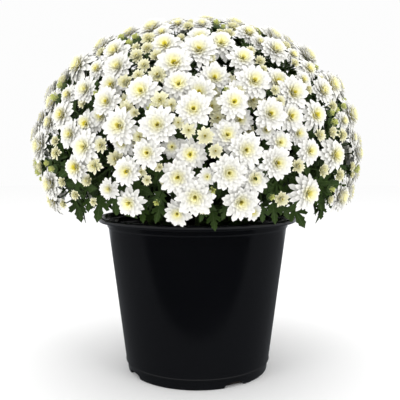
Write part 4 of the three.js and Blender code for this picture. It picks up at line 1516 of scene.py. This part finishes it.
class MakeSprays(bpy.types.Operator):
    """Make the thirty-eight sprays of blooms, half-open heads and buds on their stalks"""

    bl_idname = "chrysanthemum.make_sprays"
    bl_label = "Make Sprays"
    bl_options = {"REGISTER", "UNDO"}

    # How far behind its face a head meets its stalk, how thick the stalk is there and how much larger
    # than its place the head is drawn. Towards the top of the cushion's front it grows by LARGER too.
    NECK = {BLOOM: 0.40, HALF_OPEN: 0.85, BUD: 1.1}
    STALK = {BLOOM: 1.0, HALF_OPEN: 0.8, BUD: 0.7}
    GROWTH = {BLOOM: 1.0, HALF_OPEN: 1.05, BUD: 1.3}
    LARGER = 0.25
    # How far back a stalk bends towards its head, as a share of the way, and how much thicker it is at
    # its fork.
    ELBOW = 0.45
    THICKER = 1.3

    def execute(self, context):
        sizes = context.scene.chrysanthemum_flower
        look = petal_material(sizes)
        green = green_material("Green bracts", sizes.calyx, toned(sizes.calyx, 1.7))
        looks = {"Form material": look, "Green material": green}
        forms, picks = self.forms(sizes, looks)
        values = {"Forms": forms, "Stalk sides": 6, **looks}
        tree = sprig_tree()
        forks = [fork for stem in all_stems() for fork in stem.forks]
        sprigs = [Sprig() for _ in forks]
        for number, head in enumerate(all_heads()):
            k = nearest(head.face, forks)
            choice = picks[head.kind]
            self.carry(sprigs[k], forks[k], head, choice[number % len(choice)], sizes)
        for k, sprig in enumerate(sprigs):
            piece = sprig.grown(f"flowers_{k + 1:02}", tree, {**values, "Seed": 50 + k})
            hand_over(piece, f"spray_{k + 1:02}")
        clear_out(forms)
        return {"FINISHED"}

    def carry(self, sprig, fork, head, form, sizes):
        """One head at the end of its stalk."""
        basis = head.turned()
        back = head.face - basis.col[2] * self.NECK[head.kind] * head.radius
        elbow = back - basis.col[2] * (back - fork).length * self.ELBOW
        thick, thin = sizes.stalk * self.THICKER, sizes.stalk * self.STALK[head.kind]
        sprig.line(bow(fork, elbow, back, 5), thick, thin)
        larger = 1 + self.LARGER * max(head.normal.z, 0) * head.shown()
        size = head.radius * self.GROWTH[head.kind] * larger
        sprig.place(head.face, basis, [size] * 3, form)

    def forms(self, sizes, looks):
        """Finished heads of radius 1 to pick from, and the places of each kind's in the collection."""
        spoon = petal(
            "spoon",
            [(0.28, 0.24, 0.010, 0.050), (0.58, 0.44, 0.022, 0.082), (0.84, 0.40, 0.014, 0.052)],
            (0.12, 0.012), 0.022,
        )
        quill = petal(
            "quill",
            [(0.35, 0.36, 0.00, 0.09), (0.74, 0.44, 0.03, 0.11)],
            (0.10, 0.05), 0.03,
        )
        outline = [(0, -1.35), (0.55, -1.25), (0.96, -0.75), (0.98, -0.40), (0, -0.45)]
        bracts = turned_shape("bracts", outline, 10, hidden=True)
        smooth_but_for(bracts.data, 55)
        middle = florets("florets", Dice(SEED + 9))
        rows = {BLOOM: [], HALF_OPEN: [], BUD: []}
        for more, lift, droop in BLOOM_VARIETY:
            rows[BLOOM].append({
                **BLOOM_FORM, "Petal": spoon, "Petals": sizes.petals + more,
                "Petal width": sizes.petal_width, "Outer length": sizes.petal_length,
                "Outer tilt": sizes.outer_tilt + lift, "Inner tilt": sizes.inner_tilt + lift,
                "Outer droop": droop,
            })
        closed = [(HALF_OPEN, HALF_OPEN_FORM, HALF_OPEN_VARIETY), (BUD, BUD_FORM, BUD_VARIETY)]
        for kind, form, variety in closed:
            for count, rise in variety:
                rows[kind].append({**form, "Petal": quill, "Petals": count, "Outer tilt": rise})

        collection = bpy.data.collections.new("Head forms")
        tree = head_tree()
        picks = {}
        for kind, forms in rows.items():
            picks[kind] = []
            for form in forms:
                place = len(collection.objects)
                holder = make_object("head", [], [])
                shared = {"Calyx": bracts, "Florets": middle, "Seed": 20 * place}
                tree_on(holder, tree, {**shared, **looks, **form})
                made = finished(holder, f"head_{place:02}")
                bpy.context.scene.collection.objects.unlink(made)
                collection.objects.link(made)
                picks[kind].append(place)
        for used in (spoon, quill, bracts, middle):
            bpy.data.objects.remove(used)
        return collection, picks


class MakeStage(bpy.types.Operator):
    """Make the pale floor, the soft studio light and the camera"""

    bl_idname = "chrysanthemum.make_stage"
    bl_label = "Make Stage"
    bl_options = {"REGISTER", "UNDO"}

    # Where the lights stand, how wide and high they are, and what they point at.
    TOP_PLACE, TOP_SIZE = (0, -0.2, 1.9), (1.8, 1.8)
    SIDE_PLACE, SIDE_SIZE = (1.3, -1.3, 0.9), (0.9, 1.4)
    AIM = Vector((0, 0, 0.3))
    BACKDROP = 0.98         # strength of the white behind everything
    RIM_SIDES = 96
    SENSOR_WIDTH = 36

    def execute(self, context):
        sizes = context.scene.chrysanthemum_stage
        scene = context.scene
        rim = circle(sizes.floor_radius, 0, self.RIM_SIDES)
        floor = make_object("floor", rim, [tuple(range(len(rim)))])
        floor.data.materials.append(floor_material(sizes))

        self.light("Top light", self.TOP_PLACE, self.TOP_SIZE, sizes.top_light)
        across, ahead, up = self.SIDE_PLACE
        for side in (-1, 1):
            place = (side * across, ahead, up)
            lamp = self.light("Side light", place, self.SIDE_SIZE, sizes.side_light)
            lamp.visible_glossy = False
        self.sky(scene, sizes)

        camera = bpy.data.objects.new("Camera", bpy.data.cameras.new("Camera"))
        scene.collection.objects.link(camera)
        camera.data.sensor_width = self.SENSOR_WIDTH
        camera.data.lens = self.SENSOR_WIDTH * SHEET_FOCAL / (2 * SHEET_MIDDLE)
        camera.location = EYE
        camera.rotation_euler = (math.pi / 2 - EYE_PITCH, 0, 0)
        scene.camera = camera
        scene.view_settings.view_transform = "Standard"
        return {"FINISHED"}

    def light(self, name, place, size, power):
        """A soft rectangular light that points at AIM."""
        lamp = bpy.data.lights.new(name, "AREA")
        lamp.shape = "RECTANGLE"
        lamp.size, lamp.size_y = size
        lamp.energy = power
        made = bpy.data.objects.new(name, lamp)
        bpy.context.scene.collection.objects.link(made)
        made.location = place
        made.rotation_euler = (self.AIM - Vector(place)).to_track_quat("-Z", "Y").to_euler()
        return made

    def sky(self, scene, sizes):
        """White to look at, even as light, and dim where it is mirrored."""
        world = bpy.data.worlds.new("Studio")
        scene.world = world
        world.use_nodes = True
        tree = world.node_tree
        seen, glow, dim = (
            term(tree, "ShaderNodeBackground", {"Color": (1, 1, 1, 1), "Strength": strength})
            for strength in (self.BACKDROP, sizes.sky, sizes.mirrored_far)
        )
        is_mirrored = term(tree, "ShaderNodeLightPath", output="Is Glossy Ray")
        is_seen = term(tree, "ShaderNodeLightPath", output="Is Camera Ray")
        lit = term(tree, "ShaderNodeMixShader", {0: is_mirrored, 1: glow, 2: dim})
        both = term(tree, "ShaderNodeMixShader", {0: is_seen, 1: lit, 2: seen})
        both.to(tree.nodes["World Output"].inputs["Surface"])


class ChrysanthemumPanel(bpy.types.Panel):
    """The pot chrysanthemum's sizes and its pieces"""

    bl_idname = "VIEW3D_PT_chrysanthemum"
    bl_label = "Pot Chrysanthemum"
    bl_space_type = "VIEW_3D"
    bl_region_type = "UI"
    bl_category = "Chrysanthemum"

    def draw(self, context):
        for group, operators in PARTS:
            box = self.layout.box()
            sizes = getattr(context.scene, group)
            for name in sizes.__annotations__:
                box.prop(sizes, name)
            for operator in operators:
                box.operator(operator.bl_idname)


PARTS = [
    ("chrysanthemum_pot", (MakePot, MakeSoil)),
    ("chrysanthemum_leaf", (MakeLeafyStems,)),
    ("chrysanthemum_flower", (MakeSprays,)),
    ("chrysanthemum_stage", (MakeStage,)),
]
GROUPS = {
    "chrysanthemum_pot": PotSizes,
    "chrysanthemum_leaf": LeafSizes,
    "chrysanthemum_flower": FlowerSizes,
    "chrysanthemum_stage": StageSizes,
}
CLASSES = [*GROUPS.values(), MakePot, MakeSoil, MakeLeafyStems, MakeSprays, MakeStage, ChrysanthemumPanel]


def register():
    for item in CLASSES:
        bpy.utils.register_class(item)
    for name, group in GROUPS.items():
        setattr(bpy.types.Scene, name, PointerProperty(type=group))


def unregister():
    for name in GROUPS:
        delattr(bpy.types.Scene, name)
    for item in reversed(CLASSES):
        bpy.utils.unregister_class(item)


def main():
    register()
    bpy.ops.chrysanthemum.make_pot()
    bpy.ops.chrysanthemum.make_soil()
    bpy.ops.chrysanthemum.make_leafy_stems()
    bpy.ops.chrysanthemum.make_sprays()
    bpy.ops.chrysanthemum.make_stage()


if __name__ == "__main__":
    main()
